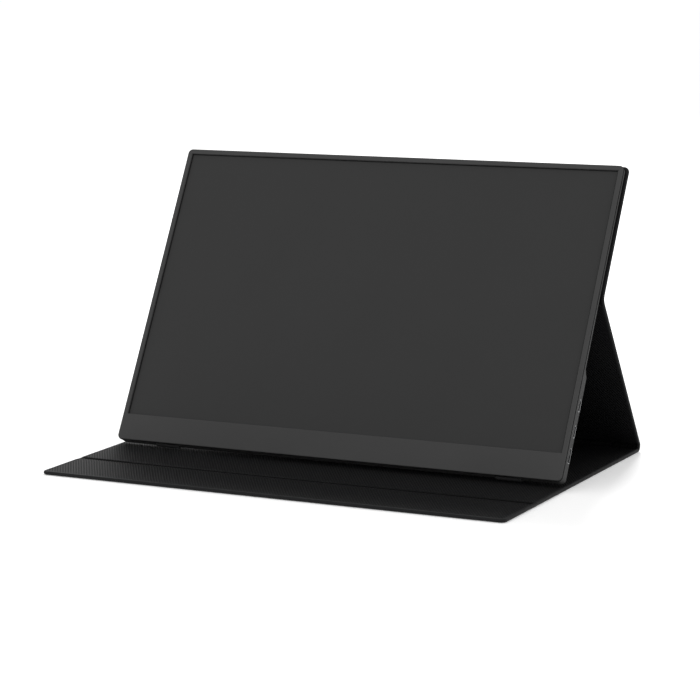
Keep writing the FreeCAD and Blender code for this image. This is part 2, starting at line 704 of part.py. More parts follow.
def stepped_block(name, inset, front):
    """The shell's outside with no inset, or its hollow with the wall as inset."""
    half = "face_half - (%s)" % inset
    high = "face_height - (%s)" % inset
    thin = "(%s) - thin_depth" % inset
    thick = "(%s) - thick_depth" % inset
    box = "box_height - (%s)" % inset
    body = new_body(name)
    sketch = new_sketch(body, "YZ_Plane")
    polygon(sketch, [(inset, "-(%s)" % front), (high, "-(%s)" % front), (high, thin),
                     (box + " + step_run", thin), (box, thick), (inset, thick)])
    pad(body, sketch, "2 * (%s)" % half, symmetric=True)
    fillet(body, lambda edge: runs_along(edge, V(0, 0, 1)), "face_corner - (%s)" % inset)
    bends = [number(box + " + step_run"), number(box)]

    def at_step(edge):
        middle = edge_middle(edge)
        return runs_along(edge, V(1, 0, 0)) and any(near(middle.y, bend) for bend in bends)

    stepped = fillet(body, at_step, "step_round")

    def at_back(edge):
        walls = [is_wall(face) for face in stepped.Shape.ancestorsOfType(edge, Part.Face)]
        return walls.count(True) == 1 and edge.BoundBox.ZMax < -number(front) - TOLERANCE

    fillet(body, at_back, "back_edge - (%s)" % inset)
    return body


def side_cutter(name, sign, outlines):
    """Holes through one side wall, drawn as seen from the right with Y up the face and Z out of it."""
    body = new_body(name)
    start = "wall_inside - shell_wall" if sign > 0 else "-face_half - shell_wall"
    sketch = new_sketch(body, "YZ_Plane", start)
    outlines(sketch)
    pad(body, sketch, "3 * shell_wall")
    return body


def port_outline(sketch, middle, depth, width, height, corner, gap):
    rounded(sketch, "%s - %s / 2 - (%s)" % (middle, width, gap), "%s + %s / 2 + %s" % (middle, width, gap),
            "-%s - %s / 2 - (%s)" % (depth, height, gap), "-%s + %s / 2 + %s" % (depth, height, gap),
            "%s + (%s)" % (corner, gap))


def usb_outlines(sketch, gap):
    for middle in ("usb_low", "(usb_low + usb_pitch)"):
        port_outline(sketch, middle, "usb_depth", "usb_width", "usb_height", "usb_corner", gap)


def hdmi_outline(sketch, gap):
    port_outline(sketch, "hdmi_low", "hdmi_depth", "hdmi_width", "hdmi_height", "hdmi_corner", gap)


def right_holes(sketch):
    usb_outlines(sketch, "socket_clearance")
    hdmi_outline(sketch, "socket_clearance")


def left_holes(sketch):
    for middle, width in (("button_low", "button_width"), ("rocker_low", "rocker_width")):
        port_outline(sketch, middle, "key_depth", width, "key_height", "key_corner", "key_clearance")
    circle(sketch, "jack_low", "-key_depth", "jack_nose + socket_clearance")


def make_shell():
    outside = stepped_block("shell_outside", "0", "shell_front")
    hollow = stepped_block("shell_hollow", "shell_wall", "shell_front - seam_gap")
    walls = boolean("Cut", "shell_walls", outside, hollow)

    bosses = new_body("shell_bosses")
    sketch = new_sketch(bosses, "XY_Plane", "-box_inside - shell_wall / 2")
    for x, v in BOARD_SCREWS:
        circle(sketch, x, v, "boss_radius")
    pad(bosses, sketch, "box_inside + shell_wall / 2 - board_back")
    with_bosses = joined("shell_with_bosses", [walls, bosses])

    pilots = new_body("shell_pilots")
    sketch = new_sketch(pilots, "XY_Plane", "-board_back - board_screw")
    for x, v in BOARD_SCREWS:
        circle(sketch, x, v, "pilot_radius")
    pad(pilots, sketch, "2 * board_screw")

    recesses = new_body("shell_recesses")
    sketch = new_sketch(recesses, "XY_Plane", "-thick_depth - shell_wall")
    for x in SHELL_SCREWS:
        circle(sketch, x, "shell_screw_low", "screw_head + head_clearance")
    pad(recesses, sketch, "shell_wall + shell_head")
    sketch = new_sketch(recesses, "XY_Plane", "-thick_depth - shell_wall")
    for x in SHELL_SCREWS:
        circle(sketch, x, "shell_screw_low", "pilot_radius")
    pad(recesses, sketch, "3 * shell_wall")

    slots = new_body("speaker_slots")
    sketch = new_sketch(slots, "XY_Plane", "-thick_depth - shell_wall")
    count = round(number("slot_count"))
    for side in ("-speaker_out", "speaker_out"):
        for step in range(count):
            middle = "%s + %s * slot_pitch" % (side, step - (count - 1) / 2)
            rectangle(sketch, middle + " - slot_width / 2", middle + " + slot_width / 2",
                      "speaker_low + (speaker_height - slot_length) / 2",
                      "speaker_low + (speaker_height + slot_length) / 2")
    pad(slots, sketch, "3 * shell_wall")

    right = side_cutter("right_holes", 1, right_holes)
    left = side_cutter("left_holes", -1, left_holes)
    holes = joined("shell_holes", [pilots, recesses, slots, right, left])
    shell = boolean("Cut", "rear_shell", with_bosses, holes)
    on_monitor(kept(shell, "rear_shell"))


def screws(name, places, head_bottom, head_height, length, backward=False):
    """Round-headed screws that run from the back towards the face, or backward from it."""
    body = new_body(name)
    sketch = new_sketch(body, "XY_Plane", head_bottom)
    for x, v in places:
        circle(sketch, x, v, "screw_head")
    pad(body, sketch, head_height)
    sketch = new_sketch(body, "XY_Plane", head_bottom)
    for x, v in places:
        circle(sketch, x, v, "screw_radius")
    pad(body, sketch, length, reverse=backward)
    on_monitor(kept(body, name))


def make_fasteners():
    board_length = "board_thickness + board_screw - screw_radius"
    screws("board_screws", BOARD_SCREWS, "-board_front", "board_head", board_length, backward=True)
    places = [(x, "shell_screw_low") for x in SHELL_SCREWS]
    screws("shell_screws", places, "-thick_depth", "shell_head", "shell_screw")


# Electronics behind the screen
def make_board(name, x_low, x_high, high, places, notch=None):
    body = new_body(name)
    sketch = new_sketch(body, "XY_Plane", "-board_back")
    rectangle(sketch, x_low, x_high, "board_low", high)
    for x, v in places:
        circle(sketch, x, v, "pilot_radius")
    pad(body, sketch, "board_thickness")
    if notch:
        sketch = new_sketch(body, "XY_Plane", "-board_front")
        rectangle(sketch, *notch)
        pocket(body, sketch, "board_thickness")
    return on_monitor(kept(body, name))


def make_electronics():
    middle_slab("timing_board", "timing_half", "timing_low", "timing_high", "tray_back", "timing_back")
    make_board("main_board", "main_left", "board_end", "main_high", MAIN_SCREWS)
    jack_notch = ("-board_end", "jack_length - board_end + socket_clearance",
                  "jack_low - jack_width / 2 - socket_clearance",
                  "jack_low + jack_width / 2 + socket_clearance")
    make_board("side_board", "-side_end", "side_width - side_end", "side_high", SIDE_SCREWS, jack_notch)

    ribbon = new_body("display_cable")
    sketch = new_sketch(ribbon, "XZ_Plane", "-(timing_low + timing_high + ribbon_width) / 2")
    start = "timing_half - ribbon_lap"
    finish = "main_left + ribbon_lap"
    upper = [(start, "-timing_back"), ("timing_half", "-timing_back"), ("main_left", "-board_back"),
             (finish, "-board_back")]
    lower = [(x, z + " - ribbon_thickness") for x, z in reversed(upper)]
    polygon(sketch, upper + lower)
    pad(ribbon, sketch, "ribbon_width")
    on_monitor(kept(ribbon, "display_cable"))

    chips = new_body("board_chips")
    sketch = new_sketch(chips, "XY_Plane", "-board_back - chip_thickness")
    chip_left = "main_left + shield_left + (shield_width - chip_size) / 2"
    chip_low = "board_low + shield_low + (shield_height - chip_size) / 2"
    rectangle(sketch, chip_left, chip_left + " + chip_size", chip_low, chip_low + " + chip_size")
    for step in (-1, 1):
        low = "%s + chip_size / 2 + %d * small_chip - small_chip / 2" % (chip_low, step)
        rectangle(sketch, "main_screw_left + small_chip", "main_screw_left + 2 * small_chip", low,
                  low + " + small_chip")
    pad(chips, sketch, "chip_thickness")
    on_monitor(kept(chips, "board_chips"))

    can = new_body("board_shield")
    sketch = new_sketch(can, "XY_Plane", "-board_back - shield_rise")
    left = "main_left + shield_left"
    low = "board_low + shield_low"
    rectangle(sketch, left, left + " + shield_width", low, low + " + shield_height")
    pad(can, sketch, "shield_rise")
    sketch = new_sketch(can, "XY_Plane", "-board_back")
    rectangle(sketch, left + " + shield_wall", left + " + shield_width - shield_wall", low + " + shield_wall",
              low + " + shield_height - shield_wall")
    pocket(can, sketch, "shield_rise - shield_wall")
    on_monitor(kept(can, "board_shield"))

    speakers = new_body("speakers")
    sketch = new_sketch(speakers, "XY_Plane", "-box_inside")
    for side in ("-speaker_out", "speaker_out"):
        rectangle(sketch, side + " - speaker_width / 2", side + " + speaker_width / 2", "speaker_low",
                  "speaker_low + speaker_height")
    pad(speakers, sketch, "box_inside - tray_back - speaker_gap")
    on_monitor(kept(speakers, "speakers"))

    plate_high = "face_height - shell_wall - plate_drop"
    middle_slab("steel_plate", "plate_width / 2", plate_high + " - plate_height", plate_high,
                "thin_depth - shell_wall - plate_thickness", "thin_depth - shell_wall")


# Sockets on the right side, and the keys and the jack on the left side
def socket(name, outlines, tongues):
    """Metal shells, open to the right, with a contact tongue inside."""
    body = new_body(name)
    sketch = new_sketch(body, "YZ_Plane", "socket_mouth - socket_length")
    outlines(sketch, "0")
    pad(body, sketch, "socket_length")
    sketch = new_sketch(body, "YZ_Plane", "socket_mouth - socket_length + socket_back")
    outlines(sketch, "-socket_wall")
    pocket(body, sketch, "socket_length", upward=True)
    sketch = new_sketch(body, "YZ_Plane", "socket_mouth - socket_length + socket_back / 2")
    for middle, depth, width in tongues:
        rectangle(sketch, "%s - (%s) / 2" % (middle, width), "%s + (%s) / 2" % (middle, width),
                  "-%s - tongue_thickness / 2" % depth, "-%s + tongue_thickness / 2" % depth)
    pad(body, sketch, "socket_length - socket_back / 2 - tongue_inset")
    on_monitor(kept(body, name))


def key(name, middle, width, seat, back):
    """A key on the left side: a rounded cap through the wall and a wider flange behind it."""
    body = new_body(name)
    sketch = new_sketch(body, "YZ_Plane", "-face_half - key_proud")
    port_outline(sketch, middle, "key_depth", width, "key_height", "key_corner", "0")
    pad(body, sketch, "key_proud + shell_wall + %s + flange_thickness" % seat)
    sketch = new_sketch(body, "YZ_Plane", "-" + back)
    port_outline(sketch, middle, "key_depth", width, "key_height", "key_corner", "key_flange")
    pad(body, sketch, "flange_thickness", reverse=True)
    fillet(body, lambda edge: near(edge.BoundBox.XMin, number("-face_half - key_proud"))
           and near(edge.BoundBox.XMax, number("-face_half - key_proud")), "key_proud / 2")
    on_monitor(kept(body, name))


def make_sides():
    socket("usb_c_sockets", usb_outlines, [(middle, "usb_depth", "usb_width - 2 * usb_corner")
                                           for middle in ("usb_low", "(usb_low + usb_pitch)")])
    socket("mini_hdmi_socket", hdmi_outline, [("hdmi_low", "hdmi_depth", "hdmi_width - 4 * hdmi_corner")])

    jack = new_body("audio_jack")
    sketch = new_sketch(jack, "YZ_Plane", "-board_end")
    rectangle(sketch, "jack_low - jack_width / 2", "jack_low + jack_width / 2",
              "-key_depth - jack_height / 2", "-key_depth + jack_height / 2")
    pad(jack, sketch, "jack_length")
    sketch = new_sketch(jack, "YZ_Plane", "-socket_mouth")
    circle(sketch, "jack_low", "-key_depth", "jack_nose")
    pad(jack, sketch, "socket_mouth - board_end + shell_wall")
    sketch = new_sketch(jack, "YZ_Plane", "-socket_mouth")
    circle(sketch, "jack_low", "-key_depth", "jack_bore")
    pocket(jack, sketch, "jack_bore_depth", upward=True)
    on_monitor(kept(jack, "audio_jack"))

    key("power_button", "button_low", "button_width", "button_seat", "button_back")
    key("menu_rocker", "rocker_low", "rocker_width", "rocker_seat", "rocker_back")

    switches = new_body("side_switches")
    spots = [("button_low", "button_back - button_throw"),
             ("(rocker_low - rocker_reach)", "rocker_back - rocker_throw"),
             ("(rocker_low + rocker_reach)", "rocker_back - rocker_throw")]
    sketch = new_sketch(switches, "XY_Plane", "-key_depth - switch_size / 2")
    for middle, tip in spots:
        rectangle(sketch, "-(%s)" % tip, "switch_length - (%s)" % tip, middle + " - switch_size / 2",
                  middle + " + switch_size / 2")
    pad(switches, sketch, "key_depth + switch_size / 2 - board_back")
    on_monitor(kept(switches, "side_switches"))

    feet = new_body("rubber_feet")
    for side in ("-foot_out", "foot_out"):
        sketch = new_sketch(feet, "YZ_Plane", side + " - foot_length / 2")
        middle = V(0, -number("foot_depth"), 0)
        round_part = Part.Circle(middle, V(0, 0, 1), number("foot_radius"))
        arc = sketch.addGeometry(Part.ArcOfCircle(round_part, math.pi / 2, 3 * math.pi / 2))
        low_end = middle - V(0, number("foot_radius"), 0)
        high_end = middle + V(0, number("foot_radius"), 0)
        line = sketch.addGeometry(Part.LineSegment(low_end, high_end))
        sketch.addConstraint(Sketcher.Constraint("Coincident", arc, 2, line, 1))
        sketch.addConstraint(Sketcher.Constraint("Coincident", line, 2, arc, 1))
        sketch.addConstraint(Sketcher.Constraint("PointOnObject", line, 1, -2))
        sketch.addConstraint(Sketcher.Constraint("PointOnObject", arc, 3, -2))
        sketch.addConstraint(Sketcher.Constraint("PointOnObject", line, 2, -2))
        dimension(sketch, Sketcher.Constraint("Radius", arc, number("foot_radius")), "foot_radius")
        level = Sketcher.Constraint("DistanceY", -1, 1, arc, 3, -number("foot_depth"))
        dimension(sketch, level, "-foot_depth")
        pad(feet, sketch, "foot_length")
    fillet(feet, lambda edge: edge.Curve.TypeId == "Part::GeomCircle", "foot_end")
    on_monitor(kept(feet, "rubber_feet"))


make_cover()
make_bezel()
make_screen()
make_shell()
make_electronics()
make_sides()
make_fasteners()
doc.recompute()

# Checks before anything is written
broken = [thing.Label for thing in doc.Objects if "Invalid" in thing.State or "Error" in thing.State]
for piece in PARTS:
    shape = piece.Shape
    if shape.isNull() or not shape.isValid() or not shape.Solids:
        broken.append(piece.Label)
if broken:
    raise RuntimeError("these failed: " + ", ".join(broken))

os.makedirs("parts", exist_ok=True)
for piece in PARTS:
    piece.Shape.exportStep("parts/%s.step" % piece.Label)
box = FreeCAD.BoundBox()
for piece in PARTS:
    box.add(piece.Shape.BoundBox)
print("%d sub-parts, %.2f x %.2f x %.2f mm" % (len(PARTS), box.XLength, box.YLength, box.ZLength))
print("corners", [round(value, 3) for value in (box.XMin, box.YMin, box.ZMin, box.XMax, box.YMax, box.ZMax)])
for alias in ("face_y", "face_z", "foot_y", "spine_y", "leg_turn", "back_y", "back_z", "channel_y"):
    print(alias, round(number(alias), 4))
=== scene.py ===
# %% [markdown]
# # A portable monitor standing in its folding cover
# This lesson dresses a CAD model. The CAD holds every hard piece at its real size, so those pieces keep their shape
# and only get a finish here. The cover is soft: leather turned in over boards, a ribbed lining and three folds that
# bend. The CAD has plain solids for these, and this script models them again as what they are.

# %% Load the frame
import json
import math

import bmesh
import bpy
from mathutils import Matrix, Vector


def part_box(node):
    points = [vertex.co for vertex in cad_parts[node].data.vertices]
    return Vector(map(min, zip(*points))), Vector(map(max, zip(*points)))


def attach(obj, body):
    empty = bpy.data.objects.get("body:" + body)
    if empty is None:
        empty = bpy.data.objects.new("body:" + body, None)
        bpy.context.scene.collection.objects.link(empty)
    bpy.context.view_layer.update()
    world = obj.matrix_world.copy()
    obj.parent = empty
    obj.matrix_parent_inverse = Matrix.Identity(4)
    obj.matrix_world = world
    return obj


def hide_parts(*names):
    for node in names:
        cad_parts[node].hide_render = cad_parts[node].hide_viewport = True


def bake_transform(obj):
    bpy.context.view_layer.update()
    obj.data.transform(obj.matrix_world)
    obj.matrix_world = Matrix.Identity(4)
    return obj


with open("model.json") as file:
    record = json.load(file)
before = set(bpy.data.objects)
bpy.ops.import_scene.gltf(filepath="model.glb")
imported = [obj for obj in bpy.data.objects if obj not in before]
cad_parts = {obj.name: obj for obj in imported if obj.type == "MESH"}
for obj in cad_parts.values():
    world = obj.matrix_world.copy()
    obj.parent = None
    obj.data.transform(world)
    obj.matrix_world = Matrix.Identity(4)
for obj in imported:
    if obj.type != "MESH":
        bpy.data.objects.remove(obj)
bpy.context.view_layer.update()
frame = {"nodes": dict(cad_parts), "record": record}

MM = 0.001
NODES = frame["nodes"]
SLOT_OF = {part["node"]: part["material_slot"] for part in frame["record"]["subparts"]}

# %% [markdown]
# ## Sizes
# The real cover is one long strip of four stiff panels. Most of its sizes can be read from the boxes of the packed
# nodes, which saves writing them twice. All lengths here are millimetres.

# %% Sizes read from the frame


def corners(node):
    """A node's lowest and highest corners, in millimetres."""
    low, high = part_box(node)
    return Vector(low) / MM, Vector(high) / MM


flap_low, flap_high = corners("flap_skin")
base_low, base_high = corners("base_skin")
board_low, board_high = corners("base_board")
channel_low, channel_high = corners("flap_fold_strip")
lining_high = corners("base_lining")[1]
bezel_high = corners("front_bezel")[1]
COVER_HALF = base_high.x
COVER_THICKNESS = base_high.z
COVER_MARGIN = COVER_HALF - bezel_high.x
SKIN = board_low.z
LINING_TOP = lining_high.z
HEM_GAP = 0.1
HEM = COVER_HALF - lining_high.x - HEM_GAP
STRIP = channel_high.z
print("cover: %.1f wide, %.1f thick, hem %.1f" % (2 * COVER_HALF, COVER_THICKNESS, HEM))

# %% [markdown]
# A box can't tell an angle, so the stand's few driving sizes are repeated here. Each panel has a flat frame of its
# own: x across, y along the cover, z inwards from the outer leather. Turning that frame about x, and moving it, puts
# the panel on the stand. Modelling flat and turning last keeps the modelling steps simple.

# %% The panels' places on the stand
LEAN = math.radians(29.25)
FACE_HEIGHT = 234.0
THIN_DEPTH = 6.0
FOOT_DEPTH = 6.5
BEND_RADIUS = 4.6
FOLD_HEIGHT = 135.5
BACK_GAP_HALF = 3.0
COVER_CORNER = 4.0

panel_turn = math.pi / 2 - LEAN
fold_depth = THIN_DEPTH + COVER_THICKNESS - STRIP / 2
fold_run = FOLD_HEIGHT * math.sin(LEAN) + (fold_depth - FOOT_DEPTH) * math.cos(LEAN)
fold_rise = FOLD_HEIGHT * math.cos(LEAN) - (fold_depth - FOOT_DEPTH) * math.sin(LEAN)
stand_side = math.hypot(fold_run, fold_rise)
bend_mid = BEND_RADIUS - STRIP / 2
leg_turn = math.pi - math.atan2(fold_rise, fold_run) + math.asin(bend_mid / stand_side)
spine_y = base_high.y
foot_y = spine_y - 2 * fold_run
flap_length = flap_high.y - flap_low.y
base_length = base_high.y - base_low.y
leg_length = math.sqrt(stand_side ** 2 - bend_mid ** 2) - BACK_GAP_HALF
upper_length = FACE_HEIGHT - FOLD_HEIGHT + COVER_MARGIN


def frame_at(turn, y, z):
    return Matrix.Translation((0, y, z)) @ Matrix.Rotation(turn, 4, "X")


FACE = frame_at(panel_turn, foot_y - FOOT_DEPTH * math.cos(LEAN), BEND_RADIUS + FOOT_DEPTH * math.sin(LEAN))
FLAP = frame_at(0, flap_low.y, 0)
BASE = frame_at(0, base_low.y, 0)
LEG = frame_at(leg_turn, spine_y + BEND_RADIUS * math.sin(leg_turn), BEND_RADIUS * (1 - math.cos(leg_turn)))
UPPER = FACE @ Matrix.Translation((0, FOLD_HEIGHT, -THIN_DEPTH - COVER_THICKNESS))
print("leg turned %.2f degrees, %.1f long" % (math.degrees(leg_turn), leg_length))

# %% [markdown]
# ## Materials
# Each finish starts from what the real one is and how it was made. Colours are written as sRGB hex values, the way
# they are picked from a picture, and turned to the linear values that light is worked out with. Patterns read Object
# coordinates, so a grain has the same size in millimetres on every piece.

# %% Colours and shader nodes


def colour(code):
    """Linear colour from an sRGB hex value."""
    channels = [int(code[place:place + 2], 16) / 255 for place in (0, 2, 4)]
    linear = [c / 12.92 if c <= 0.04045 else ((c + 0.055) / 1.055) ** 2.4 for c in channels]
    return (*linear, 1.0)


def add(tree, kind, sockets, **settings):
    """Adds a shader node. Each socket takes a plain value or another node's output."""
    node = tree.nodes.new("ShaderNode" + kind)
    for name, value in settings.items():
        setattr(node, name, value)
    for socket, value in sockets.items():
        if isinstance(value, bpy.types.NodeSocket):
            tree.links.new(value, node.inputs[socket])
        else:
            node.inputs[socket].default_value = value
    return node


def new_material(name, **plain):
    """A material whose shader has the given plain values."""
    material = bpy.data.materials.new(name)
    material.use_nodes = True
    shader = material.node_tree.nodes["Principled BSDF"]
    for socket, value in plain.items():
        shader.inputs[socket.replace("_", " ")].default_value = value
    return material, material.node_tree, shader


def dress(tree, shader, shade, gloss, relief):
    """Links a material's colour, roughness and bump to its shader."""
    tree.links.new(shade.outputs["Result"], shader.inputs["Base Color"])
    tree.links.new(gloss.outputs["Result"], shader.inputs["Roughness"])
    tree.links.new(relief.outputs["Normal"], shader.inputs["Normal"])


MATERIALS = {}
print("mid grey is %.3f in linear light" % colour("808080")[0])

# %% [markdown]
# ### Leather
# The cover is polyurethane leather: a soft black coating, embossed with a fine pebble by a roller. The eye sees small
# broken highlights and a gloss that changes slowly from patch to patch. A cell pattern gives the pebbles and a noise
# the creases between them. Real pebbles are about 0.5 mm, and are drawn a little coarser so that they show.

# %% Pebbled leather
PEBBLE = 0.8 * MM
PEBBLE_DEPTH = 0.05 * MM
CREASE = 0.35 * MM
HANDLING = 60 * MM
OCTAVES = 3.0


def leather():
    material, tree, shader = new_material("pebbled_polyurethane_leather", Specular_IOR_Level=0.14)
    place = add(tree, "TexCoord", {}).outputs["Object"]
    pebble = add(tree, "TexVoronoi", {"Vector": place, "Scale": 1 / PEBBLE}, feature="SMOOTH_F1")
    crease = add(tree, "TexNoise", {"Vector": place, "Scale": 1 / CREASE})
    height = add(tree, "Math", {0: crease.outputs["Fac"], 1: pebble.outputs["Distance"]}, operation="SUBTRACT")
    relief = add(tree, "Bump", {"Height": height.outputs["Value"], "Distance": PEBBLE_DEPTH, "Strength": 1.0})
    patch = add(tree, "TexNoise", {"Vector": place, "Scale": 1 / HANDLING, "Detail": OCTAVES}).outputs["Fac"]
    shade = add(tree, "Mix", {"Factor": patch, "A": colour("161617"), "B": colour("1d1d1e")}, data_type="RGBA")
    gloss = add(tree, "MapRange", {"Value": patch, "To Min": 0.52, "To Max": 0.66})
    dress(tree, shader, shade, gloss, relief)
    return material


MATERIALS["cover_leather"] = leather()
print("leather pebbles %.1f mm" % (PEBBLE / MM))

# %% [markdown]
# ### Lining
# The inside is a woven polyester twill with a slight sheen. Its ribs run steeply to the left, and fine threads cross
# them. Real threads are finer than these, which are drawn coarser so that they show. The weave has to follow the
# cloth over every panel and fold, so this one pattern reads a UV map, laid out in millimetres: u across the cover, v
# along it. Two sine waves make it, one across the ribs and one across the threads. The ribs are a little smoother
# than the furrows, so they shine where the light falls on them from behind.

# %% Ribbed twill
WEAVE = "weave_millimetres"
RIB_PITCH = 1.87
THREAD_PITCH = 1.3
RIB_SLOPE = math.radians(56.6)
RIB_DEPTH = 0.14 * MM
THREAD_SHARE = 0.3


def twill():
    material, tree, shader = new_material("ribbed_polyester_twill", Specular_IOR_Level=0.11)
    cloth = add(tree, "UVMap", {}, uv_map=WEAVE).outputs["UV"]
    across_ribs = Vector((math.sin(RIB_SLOPE), math.cos(RIB_SLOPE), 0)) * 2 * math.pi / RIB_PITCH
    along_ribs = Vector((-math.cos(RIB_SLOPE), math.sin(RIB_SLOPE), 0)) * 2 * math.pi / THREAD_PITCH
    waves = []
    for direction in (across_ribs, along_ribs):
        phase = add(tree, "VectorMath", {0: cloth, 1: direction}, operation="DOT_PRODUCT").outputs["Value"]
        waves.append(add(tree, "Math", {0: phase}, operation="SINE").outputs["Value"])
    height = add(tree, "Math", {0: waves[1], 1: THREAD_SHARE, 2: waves[0]}, operation="MULTIPLY_ADD")
    relief = add(tree, "Bump", {"Height": height.outputs["Value"], "Distance": RIB_DEPTH, "Strength": 1.0})
    place = add(tree, "TexCoord", {}).outputs["Object"]
    patch = add(tree, "TexNoise", {"Vector": place, "Scale": 1 / HANDLING, "Detail": OCTAVES}).outputs["Fac"]
    shade = add(tree, "Mix", {"Factor": patch, "A": colour("0a0a0b"), "B": colour("0f0f10")}, data_type="RGBA")
    gloss = add(tree, "MapRange", {"Value": waves[0], "From Min": -1.0, "To Min": 0.72, "To Max": 0.58})
    dress(tree, shader, shade, gloss, relief)
    return material


MATERIALS["cover_lining"] = twill()
print("twill ribs %.1f mm apart" % RIB_PITCH)

# %% [markdown]
# ### Housing and screen
# The housing is moulded ABS. The mould was spark-eroded, which leaves an even, fine, matt texture. The keys come from
# a smoother mould. The screen is switched off: a dark cell behind an anti-glare film, whose tiny bumps spread every
# reflection into a soft grey. All three grains are really a tenth of a millimetre or less, and are drawn coarser so
# that they show. One function serves them all, because they differ only in size and gloss. Each recipe gives a name,
# two colours, the grain's size and depth in millimetres, the roughness and the specular level.

# %% Moulded plastic and anti-glare screen
MOULDED_GLOSS = (-0.06, 0.06)
MOULDED = {
    # Even, matt and slightly grainy.
    "housing_plastic": ("spark_eroded_abs", "444444", "4a4a4a", 0.3, 0.012, 0.55, 0.03),
    # Darker and smoother, with a soft highlight along each edge.
    "key_plastic": ("smooth_moulded_abs", "2a2a2a", "303030", 0.2, 0.006, 0.4, 0.3),
    # A soft grey without a clear reflection.
    "screen": ("anti_glare_screen_film", "323232", "353535", 0.12, 0.003, 0.45, 0.15),
}


def moulded(name, dark, light, grain, depth, roughness, specular):
    material, tree, shader = new_material(name, Specular_IOR_Level=specular)
    place = add(tree, "TexCoord", {}).outputs["Object"]
    speckle = add(tree, "TexNoise", {"Vector": place, "Scale": 1 / (grain * MM)}).outputs["Fac"]
    relief = add(tree, "Bump", {"Height": speckle, "Distance": depth * MM, "Strength": 1.0})
    patch = add(tree, "TexNoise", {"Vector": place, "Scale": 1 / HANDLING, "Detail": OCTAVES}).outputs["Fac"]
    shade = add(tree, "Mix", {"Factor": patch, "A": colour(dark), "B": colour(light)}, data_type="RGBA")
    smooth, rough = [roughness + drift for drift in MOULDED_GLOSS]
    gloss = add(tree, "MapRange", {"Value": patch, "To Min": smooth, "To Max": rough})
    dress(tree, shader, shade, gloss, relief)
    return material


for slot, recipe in MOULDED.items():
    MATERIALS[slot] = moulded(*recipe)
print("moulded finishes:", ", ".join(MOULDED))

# %% [markdown]
# ### Metals
# Socket shells, the holding plate, the magnets and the screws are stamped, rolled or plated metal. Rolling and
# tumbling leave fine streaks, so a noise is stretched along one way and drives colour, gloss and bump together. Each
# recipe gives a name, two colours and the roughness.

# %% Rolled and plated metal
# A streak's length and width in millimetres, drawn wider than a real one so that it shows.
STREAK = (4.0, 0.15, 0.15)
STREAK_DEPTH = 0.004 * MM
STREAK_GLOSS = (-0.08, 0.12)
METALS = {
    # Bright and slightly warm, with a clear highlight.
    "magnet": ("nickel_plated_magnet", "b0b0ae", "cacac8", 0.25),
    # Dull silver, streaked along the rolling.
    "sheet_steel": ("zinc_coated_sheet_steel", "979899", "b6b7b8", 0.32),
    # A cool grey rim that catches the light.
    "socket_metal": ("stamped_stainless_steel", "939495", "acadae", 0.3),
    # Nearly black, with small glints.
    "screw": ("black_zinc_screw", "38383a", "4e4e50", 0.35),
}


def rolled_metal(name, dark, light, roughness):
    material, tree, shader = new_material(name, Metallic=1.0)
    place = add(tree, "TexCoord", {}).outputs["Object"]
    scale = tuple(1 / (step * MM) for step in STREAK)
    stretched = add(tree, "Mapping", {"Vector": place, "Scale": scale}).outputs["Vector"]
    streak = add(tree, "TexNoise", {"Vector": stretched, "Scale": 1.0, "Detail": OCTAVES}).outputs["Fac"]
    relief = add(tree, "Bump", {"Height": streak, "Distance": STREAK_DEPTH, "Strength": 1.0})
    shade = add(tree, "Mix", {"Factor": streak, "A": colour(dark), "B": colour(light)}, data_type="RGBA")
    smooth, rough = [roughness + drift for drift in STREAK_GLOSS]
    gloss = add(tree, "MapRange", {"Value": streak, "To Min": smooth, "To Max": rough})
    dress(tree, shader, shade, gloss, relief)
    return material


for slot, recipe in METALS.items():
    MATERIALS[slot] = rolled_metal(*recipe)
# Warm yellow glints deep in the sockets.
CONTACT_GOLD = rolled_metal("gold_plated_contacts", "c59a45", "dbb25c", 0.25)
print("metals:", ", ".join(METALS), "and", CONTACT_GOLD.name)

# %% [markdown]
# ### Matt, grained pieces
# Rubber, foam, pressed board, films and boards have little gloss and a grain of one size: cells in foam, fibres in
# board, filler in resin. A fine noise with many octaves gives such a grain, and the same noise colours it. Each
# recipe gives a name, two colours, the grain's size and depth in millimetres, and the roughness.

# %% Rubber, foam, board and films
FINE_OCTAVES = 4.0
GRAIN_GLOSS = (-0.1, 0.05)
GRAINED = {
    # Flecked grey fibres without gloss.
    "cover_greyboard": ("pressed_greyboard", "86827c", "a39f98", 0.6, 0.05, 0.9),
    # Nearly black, because the cells of its surface swallow light. The strip in the joint line wears it as painted
    # shade.
    "foam": ("closed_cell_foam_and_painted_shade", "030303", "0a0a0a", 0.4, 0.05, 0.95),
    # Milky white with a silky shine.
    "film": ("white_optical_film", "e2e2e2", "f3f3f3", 0.3, 0.005, 0.4),
    # Glossy green lacquer over copper tracks, which show as paler patches.
    "circuit": ("green_solder_mask", "0a371d", "15552e", 2.5, 0.02, 0.35),
    # Amber and slightly glossy, with a rolled texture.
    "ribbon": ("amber_polyimide_film", "764610", "9c6721", 1.2, 0.01, 0.35),
    # Dull black with fine pits of filler.
    "chip": ("moulded_epoxy_resin", "0b0b0c", "181819", 0.15, 0.01, 0.6),
    # Soft dark grey without a clear highlight.
    "rubber": ("soft_silicone_rubber", "1a1a1b", "262627", 0.25, 0.02, 0.7),
}


